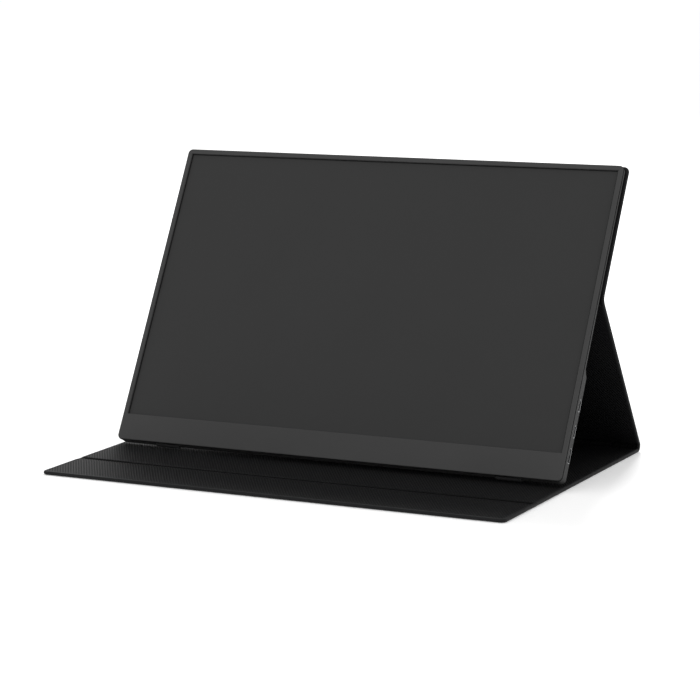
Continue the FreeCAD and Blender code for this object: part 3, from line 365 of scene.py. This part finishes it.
def grained(name, dark, light, grain, depth, roughness):
    material, tree, shader = new_material(name, Specular_IOR_Level=0.3)
    place = add(tree, "TexCoord", {}).outputs["Object"]
    grain_noise = {"Vector": place, "Scale": 1 / (grain * MM), "Detail": FINE_OCTAVES}
    speckle = add(tree, "TexNoise", grain_noise).outputs["Fac"]
    relief = add(tree, "Bump", {"Height": speckle, "Distance": depth * MM, "Strength": 1.0})
    shade = add(tree, "Mix", {"Factor": speckle, "A": colour(dark), "B": colour(light)}, data_type="RGBA")
    smooth, rough = [roughness + drift for drift in GRAIN_GLOSS]
    gloss = add(tree, "MapRange", {"Value": speckle, "To Min": smooth, "To Max": rough})
    dress(tree, shader, shade, gloss, relief)
    return material


for slot, recipe in GRAINED.items():
    MATERIALS[slot] = grained(*recipe)
print("grained finishes:", ", ".join(GRAINED))

# %% [markdown]
# ### Light guide
# Behind the screen lies a sheet of cast acrylic, which spreads the light of the LED strip at its edge. Clear plastic
# could be made as glass, but acrylic bends light a little less, so it gets its own IOR. A slow noise gives it the
# slight waves of casting.

# %% Clear acrylic
CAST_WAVE = 8 * MM
CAST_DEPTH = 0.002 * MM


def acrylic():
    """Clear, with bright edges and slightly wavy reflections."""
    material, tree, shader = new_material("clear_cast_acrylic", Transmission_Weight=0.8, IOR=1.49)
    place = add(tree, "TexCoord", {}).outputs["Object"]
    patch = add(tree, "TexNoise", {"Vector": place, "Scale": 1 / CAST_WAVE}).outputs["Fac"]
    relief = add(tree, "Bump", {"Height": patch, "Distance": CAST_DEPTH, "Strength": 1.0})
    shade = add(tree, "Mix", {"Factor": patch, "A": colour("dde6ea"), "B": colour("f0f5f7")}, data_type="RGBA")
    gloss = add(tree, "MapRange", {"Value": patch, "To Min": 0.06, "To Max": 0.16})
    dress(tree, shader, shade, gloss, relief)
    return material


MATERIALS["acrylic"] = acrylic()
print("acrylic waves %.0f mm" % (CAST_WAVE / MM))

# %% [markdown]
# ### Finishes on the CAD pieces
# The record names a slot for every CAD node. A node keeps its mesh and gets its slot's finish. Finishes could be
# given node by node, but going by slot makes all pieces of one real material match.

# %% Dress the nodes
for name, node in NODES.items():
    node.data.materials.clear()
    node.data.materials.append(MATERIALS[SLOT_OF[name]])
print("finishes:", len(MATERIALS), "slots on", len(NODES), "nodes")

# %% [markdown]
# ## From a mesh to a piece
# Every new piece is modelled in millimetres and put in place by moving its mesh, so that its object stays at the
# origin, as the CAD nodes do. Flat faces keep flat shading and rounded ones are smooth. Smooth shading everywhere
# would bend the light on the large flat faces next to small roundings.

# %% Finish a piece
# A face counts as flat when its normal lies this closely along an axis.
FLAT = 0.999


def everything(mesh):
    return mesh.verts[:] + mesh.edges[:] + mesh.faces[:]


def of_kind(geometry, kind):
    return [item for item in geometry if isinstance(item, kind)]


def settle(name, mesh, materials, place=Matrix()):
    """Turns a finished mesh into an object with its place in the mesh."""
    bmesh.ops.recalc_face_normals(mesh, faces=mesh.faces)
    for face in mesh.faces:
        face.smooth = max(abs(part) for part in face.normal) < FLAT
    bmesh.ops.transform(mesh, matrix=Matrix.Scale(MM, 4) @ place, verts=mesh.verts)
    data = bpy.data.meshes.new(name)
    mesh.to_mesh(data)
    mesh.free()
    for material in materials:
        data.materials.append(material)
    made = bpy.data.objects.new(name, data)
    bpy.context.scene.collection.objects.link(made)
    return made


def lay_weave(mesh, along):
    """Gives the mesh its UV map in millimetres: across the cover, and along it."""
    layer = mesh.loops.layers.uv.new(WEAVE)
    for face in mesh.faces:
        for loop in face.loops:
            loop[layer].uv = (loop.vert.co.x, along(loop.vert.co))


print("pieces are modelled in millimetres and saved at %.3f of that" % MM)

# %% [markdown]
# ## Cover panels
# On the real cover the leather goes round the board's edges and is glued down inside as a narrow hem. The lining
# then fills the space within the hem. Both drop over a rounded shoulder where a panel meets a fold, and that makes
# the dark channel across the floor panel. The hems drop less than the lining between them, so that the channel's ends
# don't notch the outline. A panel is drawn too long at its folds and cut there, because then the hem runs straight
# off the end and needs no special case.

# %% The shoulder at a fold
SHOULDER = 1.8
SHOULDER_SHARES = (0.08, 0.25, 0.5, 0.75, 1.0)
FOLD_THICKNESS = 1.5
HEM_THICKNESS = 2.3


def headroom(distance, at_fold):
    """How high a panel may be at a distance from its fold, where it has the given height."""
    share = min(max(distance / SHOULDER, 0.0), 1.0)
    return at_fold + (COVER_THICKNESS - at_fold) * math.sqrt(1 - (1 - share) ** 2)


def cut_across(mesh, y, normal, **options):
    """Cuts the mesh at one place along the cover."""
    bmesh.ops.bisect_plane(mesh, geom=everything(mesh), plane_co=(0, y, 0), plane_no=(0, normal, 0), **options)


def cut_at_fold(mesh, end, outward, at_fold):
    """Cuts the mesh off at a fold and rounds its shoulder down to the fold's strip."""
    cut_across(mesh, end, outward, clear_outer=True)
    for share in SHOULDER_SHARES:
        cut_across(mesh, end - outward * share * SHOULDER, outward)
    for vert in mesh.verts:
        vert.co.z = min(vert.co.z, headroom((end - vert.co.y) * outward, at_fold))


print("shoulder: %.1f long, down to %.1f" % (SHOULDER, headroom(0, FOLD_THICKNESS)))

# %% [markdown]
# The leather starts as one flat face. Its corners are rounded, it is raised into a slab with soft rims, and the
# middle of the top is taken out, which leaves the hem. Thickness comes last, inwards.

# %% Leather with a turned-in hem
SOFT_RIM = 1.0
SPARE = 3 * COVER_CORNER
LEATHER_PLAY = 0.02
LEATHER = SKIN - LEATHER_PLAY


def flat_sheet(half, low, high, height):
    """One flat face of a panel."""
    mesh = bmesh.new()
    bmesh.ops.create_grid(mesh, x_segments=1, y_segments=1, size=0.5)
    bmesh.ops.scale(mesh, vec=(2 * half, high - low, 1), verts=mesh.verts)
    bmesh.ops.translate(mesh, vec=(0, (low + high) / 2, height), verts=mesh.verts)
    return mesh


def hemmed_leather(low, high, fold_low, fold_high):
    """One panel's leather. Its rims are the edges that run level, at the top and the bottom of the slab."""
    mesh = flat_sheet(COVER_HALF, low - SPARE * fold_low, high + SPARE * fold_high, 0)
    bmesh.ops.bevel(mesh, geom=mesh.verts[:], offset=COVER_CORNER, segments=10, profile=0.5, affect="VERTICES",
                    material=-1)
    raised = bmesh.ops.extrude_face_region(mesh, geom=mesh.faces[:])["geom"]
    bmesh.ops.translate(mesh, vec=(0, 0, COVER_THICKNESS), verts=of_kind(raised, bmesh.types.BMVert))
    bmesh.ops.recalc_face_normals(mesh, faces=mesh.faces)
    rims = [edge for edge in mesh.edges if abs(edge.verts[0].co.z - edge.verts[1].co.z) < SKIN]
    bmesh.ops.bevel(mesh, geom=rims, offset=SOFT_RIM, segments=5, profile=0.5, affect="EDGES", material=-1)
    middle = max(mesh.faces, key=lambda face: face.calc_center_median().z)
    bmesh.ops.inset_region(mesh, faces=[middle], thickness=HEM - SOFT_RIM, use_even_offset=True)
    bmesh.ops.delete(mesh, geom=[middle], context="FACES_ONLY")
    if fold_low:
        cut_at_fold(mesh, low, -1, HEM_THICKNESS)
    if fold_high:
        cut_at_fold(mesh, high, 1, HEM_THICKNESS)
    bmesh.ops.recalc_face_normals(mesh, faces=mesh.faces)
    bmesh.ops.solidify(mesh, geom=mesh.faces[:], thickness=LEATHER)
    return mesh


print("leather %.2f thick, with rims of %.1f" % (LEATHER, SOFT_RIM))

# %% [markdown]
# The lining is a plain sheet that reaches from hem to hem and runs to the folds. It gets the same shoulders.

# %% Lining, and the four panels
LINING_PLAY = 0.03
LINING = LINING_TOP - board_high.z - LINING_PLAY


def fitted_lining(low, high, fold_low, fold_high):
    """One panel's lining, with the weave laid out along it."""
    start = low if fold_low else low + HEM + HEM_GAP
    finish = high if fold_high else high - HEM - HEM_GAP
    mesh = flat_sheet(COVER_HALF - HEM - HEM_GAP, start, finish, LINING_TOP)
    if fold_low:
        cut_at_fold(mesh, low, -1, FOLD_THICKNESS)
    if fold_high:
        cut_at_fold(mesh, high, 1, FOLD_THICKNESS)
    bmesh.ops.recalc_face_normals(mesh, faces=mesh.faces)
    bmesh.ops.solidify(mesh, geom=mesh.faces[:], thickness=LINING)
    lay_weave(mesh, lambda point: point.y)
    return mesh


# A panel's name, body and place, its two ends along the cover, and whether it has a fold at each.
PANELS = (
    ("flap", "flap", FLAP, 0.0, flap_length, False, True),
    ("base", "base", BASE, 0.0, base_length, True, True),
    ("leg", "leg", LEG, 0.0, leg_length, True, True),
    ("upper", "monitor", UPPER, BACK_GAP_HALF, upper_length, True, False),
)
for name, body, place, *ends in PANELS:
    skin = settle(name + "_leather", hemmed_leather(*ends), [MATERIALS["cover_leather"]], place)
    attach(skin, body)
    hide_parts(name + "_skin")
    cloth = settle(name + "_twill", fitted_lining(*ends), [MATERIALS["cover_lining"]], place)
    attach(cloth, body)
    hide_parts(name + "_lining")
    print(name, "panel: %.1f to %.1f, leather %d faces" % (ends[0], ends[1], len(skin.data.polygons)))

# %% [markdown]
# ## Folds
# At a fold there is no board: leather and lining are glued together as a soft strip, thinner than the panels. It is
# fuller at the hems, where the leather is double. Every strip starts as one flat face, its cross-section. The face is
# rounded at its ends, pressed thinner between the hems and set upright on the end of a panel.

# %% A strip's section
STRIP_RIM = 0.8
HEM_SLOPE = 0.5
HEM_STEP = HEM + HEM_SLOPE


def cut_along(mesh, x):
    """Cuts the mesh at one place across the cover."""
    bmesh.ops.bisect_plane(mesh, geom=everything(mesh), plane_co=(x, 0, 0), plane_no=(1, 0, 0))


def strip_section(place):
    """The strip's cross-section with rounded ends, set on the end of a panel."""
    mesh = flat_sheet(COVER_HALF, 0, HEM_THICKNESS, 0)
    bmesh.ops.bevel(mesh, geom=mesh.verts[:], offset=STRIP_RIM, segments=4, profile=0.5, affect="VERTICES",
                    material=-1)
    for x in (HEM - COVER_HALF, HEM_STEP - COVER_HALF, COVER_HALF - HEM_STEP, COVER_HALF - HEM):
        cut_along(mesh, x)
    for vert in mesh.verts:
        if abs(vert.co.x) < COVER_HALF - (HEM + HEM_STEP) / 2:
            vert.co.y = min(vert.co.y, FOLD_THICKNESS)
    bmesh.ops.rotate(mesh, cent=(0, 0, 0), matrix=Matrix.Rotation(math.pi / 2, 3, "X"), verts=mesh.verts)
    bmesh.ops.transform(mesh, matrix=place, verts=mesh.verts)
    return mesh


print("strips: %.1f thick, %.1f at the hems" % (FOLD_THICKNESS, HEM_THICKNESS))

# %% [markdown]
# A strip shows leather outside and at its hems, and lining inside. It could ride on one of the two bodies that it
# joins, but would then tear away from the other.

# %% A strip's lining and its bodies
INNER_SHARE = 0.8


def line_inside(mesh, depth):
    """Gives the lining to the strip's inner side, between the hems. Depth is measured from the outer leather."""
    for face in mesh.faces:
        middle = face.calc_center_median()
        if depth(middle) > INNER_SHARE * FOLD_THICKNESS and abs(middle.x) < COVER_HALF - HEM:
            face.material_index = 1


def hang_strip(name, mesh, node, bodies):
    """Makes the strip a piece, in its place on the stand, and hides the CAD node that it replaces."""
    made = settle(name, mesh, [MATERIALS["cover_leather"], MATERIALS["cover_lining"]])
    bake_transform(made)
    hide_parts(node)
    print(name, "bends from", bodies[0], "to", bodies[1], "with", len(made.data.polygons), "faces")


print("lining lies deeper than %.1f" % (INNER_SHARE * FOLD_THICKNESS))

# %% [markdown]
# The spine and the back fold are round bends, so their section is spun about the fold's axis. The weave goes on round
# the bend, with its length measured along the outer leather.

# %% Spine and back fold
BEND_STEPS = 18


def bent_strip(place, centre, turn):
    """The strip's section, spun about the fold's axis."""
    mesh = strip_section(place)
    bmesh.ops.spin(mesh, geom=everything(mesh), cent=centre, axis=(1, 0, 0), angle=turn, steps=BEND_STEPS)
    outer = (place.translation - centre).length
    inner = (place @ Vector((0, 0, FOLD_THICKNESS)) - centre).length
    inwards = math.copysign(1, inner - outer)
    line_inside(mesh, lambda point: inwards * (math.hypot(point.y - centre.y, point.z - centre.z) - outer))
    lay_weave(mesh, lambda point: outer * math.atan2(point.y - centre.y, point.z - centre.z))
    return mesh


spine_start = BASE @ Matrix.Translation((0, base_length, 0))
spine_centre = Vector((0, spine_y, BEND_RADIUS))
hang_strip("spine_fold_strip", bent_strip(spine_start, spine_centre, leg_turn), "spine_strip", ("base", "leg"))

back_start = LEG @ Matrix.Translation((0, leg_length, 0))
back_end = UPPER @ Matrix.Translation((0, BACK_GAP_HALF, 0))
back_radius = BACK_GAP_HALF / math.tan((leg_turn - panel_turn) / 2)
back_centre = back_end @ Vector((0, 0, STRIP / 2 - back_radius))
hang_strip("back_fold_soft_strip", bent_strip(back_start, back_centre, panel_turn - leg_turn), "back_fold_strip",
           ("leg", "monitor"))

# %% [markdown]
# The flap's fold lies flat. Its strip has the same section, drawn out straight and cut across, so that it has lines
# to bend at.

# %% The channel across the floor panel
channel_mesh = strip_section(Matrix.Translation((0, channel_low.y, 0)))
channel_span = channel_high.y - channel_low.y
drawn_out = bmesh.ops.extrude_face_region(channel_mesh, geom=channel_mesh.faces[:])["geom"]
bmesh.ops.translate(channel_mesh, vec=(0, channel_span, 0), verts=of_kind(drawn_out, bmesh.types.BMVert))
for step in range(1, BEND_STEPS):
    cut_across(channel_mesh, channel_low.y + channel_span * step / BEND_STEPS, 1)
line_inside(channel_mesh, lambda point: point.z)
lay_weave(channel_mesh, lambda point: point.y)
hang_strip("flap_fold_soft_strip", channel_mesh, "flap_fold_strip", ("base", "flap"))

# %% [markdown]
# ## Screws
# Four screws hold the housing together. Their heads have a cross recess, which is too small for the CAD model. A grid
# of nine faces gives the cross: its middle and arms are pushed in. A ring of edges joins the grid to the round head.

# %% Cross-recessed screws
SCREW_HEAD = 1.5
SCREW_SHANK = 0.7
SCREW_LENGTH = 5.0
HEAD_HEIGHT = 0.6
RECESS_HALF = 0.95
RECESS_ARM = 0.22
RECESS_DEPTH = 0.4


def draw_screw(mesh):
    """One screw, from its driven face, which looks along -z, to the shank's tip."""
    cross = bmesh.ops.create_grid(mesh, x_segments=3, y_segments=3, size=RECESS_HALF)["verts"]
    for vert in cross:
        for axis in (0, 1):
            if abs(vert.co[axis]) < RECESS_HALF / 2:
                vert.co[axis] = math.copysign(RECESS_ARM, vert.co[axis])
    arms = [face for face in mesh.faces if min(abs(part) for part in face.calc_center_median().xy) < RECESS_ARM]
    square = [edge for edge in mesh.edges if edge.is_boundary]
    ring = bmesh.ops.create_circle(mesh, segments=24, radius=SCREW_HEAD)["verts"]
    round_edges = list({edge for vert in ring for edge in vert.link_edges})
    bmesh.ops.bridge_loops(mesh, edges=square + round_edges)
    sunk = bmesh.ops.extrude_face_region(mesh, geom=arms)["geom"]
    bmesh.ops.translate(mesh, vec=(0, 0, RECESS_DEPTH), verts=of_kind(sunk, bmesh.types.BMVert))
    for radius, height in ((SCREW_HEAD, HEAD_HEIGHT), (SCREW_SHANK, HEAD_HEIGHT), (SCREW_SHANK, SCREW_LENGTH)):
        open_edges = [edge for edge in mesh.edges if edge.is_boundary]
        grown = of_kind(bmesh.ops.extrude_edge_only(mesh, edges=open_edges)["geom"], bmesh.types.BMVert)
        for vert in grown:
            vert.co.xy = vert.co.xy.normalized() * radius
            vert.co.z = height
    bmesh.ops.holes_fill(mesh, edges=[edge for edge in mesh.edges if edge.is_boundary])


screws = bmesh.new()
draw_screw(screws)
print("one screw:", len(screws.faces), "faces")

# %% [markdown]
# The screws sit in the back of the thick box. All four are one piece, as their node is in the CAD, so the first mesh
# is copied along the box before it becomes an object.

# %% Four screws in the back
THICK_DEPTH = 10.4
SCREW_LOW = 6.0
SCREW_PLACES = (-158.0, -66.0, 66.0, 158.0)

first_screw = everything(screws)
for x in SCREW_PLACES[1:]:
    copied = bmesh.ops.duplicate(screws, geom=first_screw)["geom"]
    bmesh.ops.translate(screws, vec=(x - SCREW_PLACES[0], 0, 0), verts=of_kind(copied, bmesh.types.BMVert))
screw_place = FACE @ Matrix.Translation((SCREW_PLACES[0], SCREW_LOW, -THICK_DEPTH))
screw_piece = settle("cross_recessed_shell_screws", screws, [MATERIALS["screw"]], screw_place)
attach(screw_piece, "monitor")
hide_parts("shell_screws")
print("screws:", len(SCREW_PLACES))

# %% [markdown]
# ## Contacts in the sockets
# A socket's steel shell holds a dark plastic tongue with gilded contacts. In the CAD the tongue is part of the shell,
# so a thin dark sleeve goes over it here, and the contacts lie on the sleeve's two faces.

# %% Socket tongues
TONGUE_DEPTH = 7.3
TONGUE_THICKNESS = 0.7
TONGUE_END = 176.85
TONGUE_START = 171.5
SLEEVE = 0.05
CONTACT_WIDTH = 0.35
CONTACT_RISE = 0.03
CONTACT_SHARE = 0.7
# Each tongue's height up the face, its width, and its contacts a side.
TONGUES = {
    "usb_c_contact_tongues": ((37.7, 6.0, 6), (56.7, 6.0, 6)),
    "mini_hdmi_contact_tongue": ((20.2, 7.6, 9),),
}


def block(mesh, size, middle, material):
    """A small block, its edges rounded by a quarter of its least size."""
    verts = bmesh.ops.create_cube(mesh, size=1.0)["verts"]
    bmesh.ops.scale(mesh, vec=size, verts=verts)
    bmesh.ops.translate(mesh, vec=middle, verts=verts)
    for face in {face for vert in verts for face in vert.link_faces}:
        face.material_index = material
    edges = list({edge for vert in verts for edge in vert.link_edges})
    bmesh.ops.bevel(mesh, geom=edges, offset=min(size) / 4, segments=2, profile=0.5, affect="EDGES", material=-1)


for name, tongues in TONGUES.items():
    mesh = bmesh.new()
    for rise, width, count in tongues:
        end = TONGUE_END + SLEEVE
        length = end - TONGUE_START
        size = (length, width + 2 * SLEEVE, TONGUE_THICKNESS + 2 * SLEEVE)
        block(mesh, size, (end - length / 2, rise, -TONGUE_DEPTH), 0)
        contact_size = (length * CONTACT_SHARE, CONTACT_WIDTH, size[2] + 2 * CONTACT_RISE)
        for step in range(count):
            across = rise + width * ((step + 0.5) / count - 0.5)
            block(mesh, contact_size, (TONGUE_START + length / 2, across, -TONGUE_DEPTH), 1)
    tongue = settle(name, mesh, [MATERIALS["chip"], CONTACT_GOLD], FACE)
    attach(tongue, "monitor")
    print(name, "with", sum(count for rise, width, count in tongues), "contacts a side")

# %% [markdown]
# ## Painted shade in the joint line
# Bezel and rear shell meet in a narrow groove round the monitor, whose shadow shows as a thin dark line. Left empty,
# the groove would show the shell's lit rim from the front, so a strip in the black foam finish fills it and stands
# out
# a little. The strip is painted shade: a dark piece where the real groove has only shadow.
# The strip starts as the monitor's outline. It is set in by the strip's width, the middle is taken out, and the ring
# that is left is thickened. A ring cut from one face has closed, even corners, which four separate strips would not.

# %% Painted shade strip in the joint line
FACE_CORNER = 3.5
BEZEL_PLATE = 1.3
SEAM_GAP = 0.6
SHADE_PROUD = 0.3
SHADE_WIDTH = 1.2
SHADE_PLAY = 0.01

# A strip in the black foam finish fills the joint: painted shade for the groove's shadow.
joint_shade_low = -BEZEL_PLATE - SEAM_GAP + SHADE_PLAY
joint_shade = flat_sheet(bezel_high.x + SHADE_PROUD, -SHADE_PROUD, FACE_HEIGHT + SHADE_PROUD, joint_shade_low)
bmesh.ops.bevel(joint_shade, geom=joint_shade.verts[:], offset=FACE_CORNER + SHADE_PROUD, segments=8, profile=0.5,
                affect="VERTICES", material=-1)
joint_shade_ring = bmesh.ops.inset_region(joint_shade, faces=joint_shade.faces[:], thickness=SHADE_WIDTH, use_boundary=True,
                                   use_even_offset=True)["faces"]
within = [face for face in joint_shade.faces if face not in joint_shade_ring]
bmesh.ops.delete(joint_shade, geom=within, context="FACES")
thickened = bmesh.ops.extrude_face_region(joint_shade, geom=joint_shade.faces[:])["geom"]
bmesh.ops.translate(joint_shade, vec=(0, 0, SEAM_GAP - 2 * SHADE_PLAY), verts=of_kind(thickened, bmesh.types.BMVert))
open_edges = sum(edge.is_boundary for edge in joint_shade.edges)
joint_shade_piece = settle("joint_line_painted_shade_strip", joint_shade, [MATERIALS["foam"]], FACE)
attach(joint_shade_piece, "monitor")
print("foam seal: %d faces, %d open edges" % (len(joint_shade_piece.data.polygons), open_edges))

# %% [markdown]
# ## Stage and light
# The object stands in a plain white studio, on pale paper. The paper has to look white to the camera but keep the
# shadow. More light would wash out the object, so the paper glows a little instead, and only for the rays of camera,
# mirrors and glass. That lights nothing.

# %% Paper floor
FLOOR_SIZE = 40.0
FLOOR_DROP = 0.0002
FLOOR_GLOW = 0.2
FLOOR_MOTTLE = 300 * MM
WHITE = (1.0, 1.0, 1.0, 1.0)

floor_mesh = bmesh.new()
bmesh.ops.create_grid(floor_mesh, x_segments=1, y_segments=1, size=FLOOR_SIZE / 2)
bmesh.ops.translate(floor_mesh, vec=(0, 0, -FLOOR_DROP), verts=floor_mesh.verts)
floor_data = bpy.data.meshes.new("studio_floor")
floor_mesh.to_mesh(floor_data)
floor_mesh.free()
floor = bpy.data.objects.new("studio_floor", floor_data)
bpy.context.scene.collection.objects.link(floor)
# Nearly white and quite matt, with a broad, faint mottle.
paper, tree, shader = new_material("pale_studio_paper", Roughness=0.9, Specular_IOR_Level=0.1)
place = add(tree, "TexCoord", {}).outputs["Object"]
mottle = add(tree, "TexNoise", {"Vector": place, "Scale": 1 / FLOOR_MOTTLE}).outputs["Fac"]
shade = add(tree, "Mix", {"Factor": mottle, "A": colour("f3f3f3"), "B": colour("f7f7f7")}, data_type="RGBA")
tree.links.new(shade.outputs["Result"], shader.inputs["Base Color"])
rays = add(tree, "LightPath", {}).outputs
seen = add(tree, "Math", {0: rays["Is Camera Ray"], 1: rays["Is Glossy Ray"]}, operation="ADD").outputs["Value"]
seen = add(tree, "Math", {0: seen, 1: rays["Is Transmission Ray"]}, operation="ADD").outputs["Value"]
glow = add(tree, "Math", {0: seen, 1: FLOOR_GLOW}, operation="MULTIPLY").outputs["Value"]
shader.inputs["Emission Color"].default_value = WHITE
tree.links.new(glow, shader.inputs["Emission Strength"])
floor_data.materials.append(paper)
print("floor: %.0f m of paper with a glow of %.1f" % (FLOOR_SIZE, FLOOR_GLOW))

# %% [markdown]
# A white world gives even light at which colours look as written. A picture of a room could light the object too, but
# would put shapes into its reflections. The camera sees the world at a strength of 1, which is plain white.

# %% White world
WORLD_STRENGTH = 0.9

world = bpy.data.worlds.new("white_studio")
world.use_nodes = True
sky = world.node_tree.nodes["Background"]
sky.inputs["Color"].default_value = WHITE
rays = add(world.node_tree, "LightPath", {}).outputs
level = add(world.node_tree, "MapRange", {"Value": rays["Is Camera Ray"], "To Min": WORLD_STRENGTH, "To Max": 1.0})
world.node_tree.links.new(level.outputs["Result"], sky.inputs["Strength"])
bpy.context.scene.world = world
print("world: %.2f as light" % WORLD_STRENGTH)

# %% [markdown]
# One large soft lamp behind the stand gives the shadow its direction and the ribs of the lining their shine. It is an
# area lamp, because a small one would draw a hard edge round the shadow.

# %% Soft lamp
LAMP_PLACE = Vector((-0.50, 1.55, 1.47))
LAMP_SIZE = (0.55, 0.45)
LAMP_POWER = 28.0

lamp_data = bpy.data.lights.new("soft_rear_lamp", "AREA")
lamp_data.shape = "RECTANGLE"
lamp_data.size, lamp_data.size_y = LAMP_SIZE
lamp_data.energy = LAMP_POWER
lamp = bpy.data.objects.new("soft_rear_lamp", lamp_data)
lamp.location = LAMP_PLACE
lamp.rotation_euler = (-LAMP_PLACE).to_track_quat("-Z", "Y").to_euler()
bpy.context.scene.collection.objects.link(lamp)
print("lamp: %.0f W, %.2f by %.2f m" % (LAMP_POWER, *LAMP_SIZE))

# %% [markdown]
# ## Camera
# The camera's place, angles and lens were fitted to the object's straight edges in the photograph. It looks slightly
# down and from the right, with a small roll. Its axes are built one by one, because that states the roll plainly.

# %% Camera
PHOTO_PIXELS = 700
FOCAL_PIXELS = 2658.2
SENSOR = 36.0
AZIMUTH = math.radians(27.423)
ELEVATION = math.radians(9.946)
ROLL = math.radians(0.786)
CAMERA_PLACE = (0.8657, -1.6582, 0.4103)
NEAREST = 0.05
FARTHEST = 60.0

camera_data = bpy.data.cameras.new("photo_camera")
camera_data.sensor_width = SENSOR
camera_data.lens = FOCAL_PIXELS / PHOTO_PIXELS * SENSOR
camera_data.clip_start = NEAREST
camera_data.clip_end = FARTHEST
camera = bpy.data.objects.new("photo_camera", camera_data)
back = Vector((math.sin(AZIMUTH) * math.cos(ELEVATION), -math.cos(AZIMUTH) * math.cos(ELEVATION),
               math.sin(ELEVATION)))
right = Vector((math.cos(AZIMUTH), math.sin(AZIMUTH), 0.0))
rolled_right = right * math.cos(ROLL) - back.cross(right) * math.sin(ROLL)
axes = Matrix((rolled_right, back.cross(rolled_right), back)).transposed().to_4x4()
camera.matrix_world = Matrix.Translation(CAMERA_PLACE) @ axes
bpy.context.scene.collection.objects.link(camera)
bpy.context.scene.camera = camera
bpy.context.scene.view_settings.view_transform = "Standard"
print("camera: %.0f mm lens" % camera_data.lens)
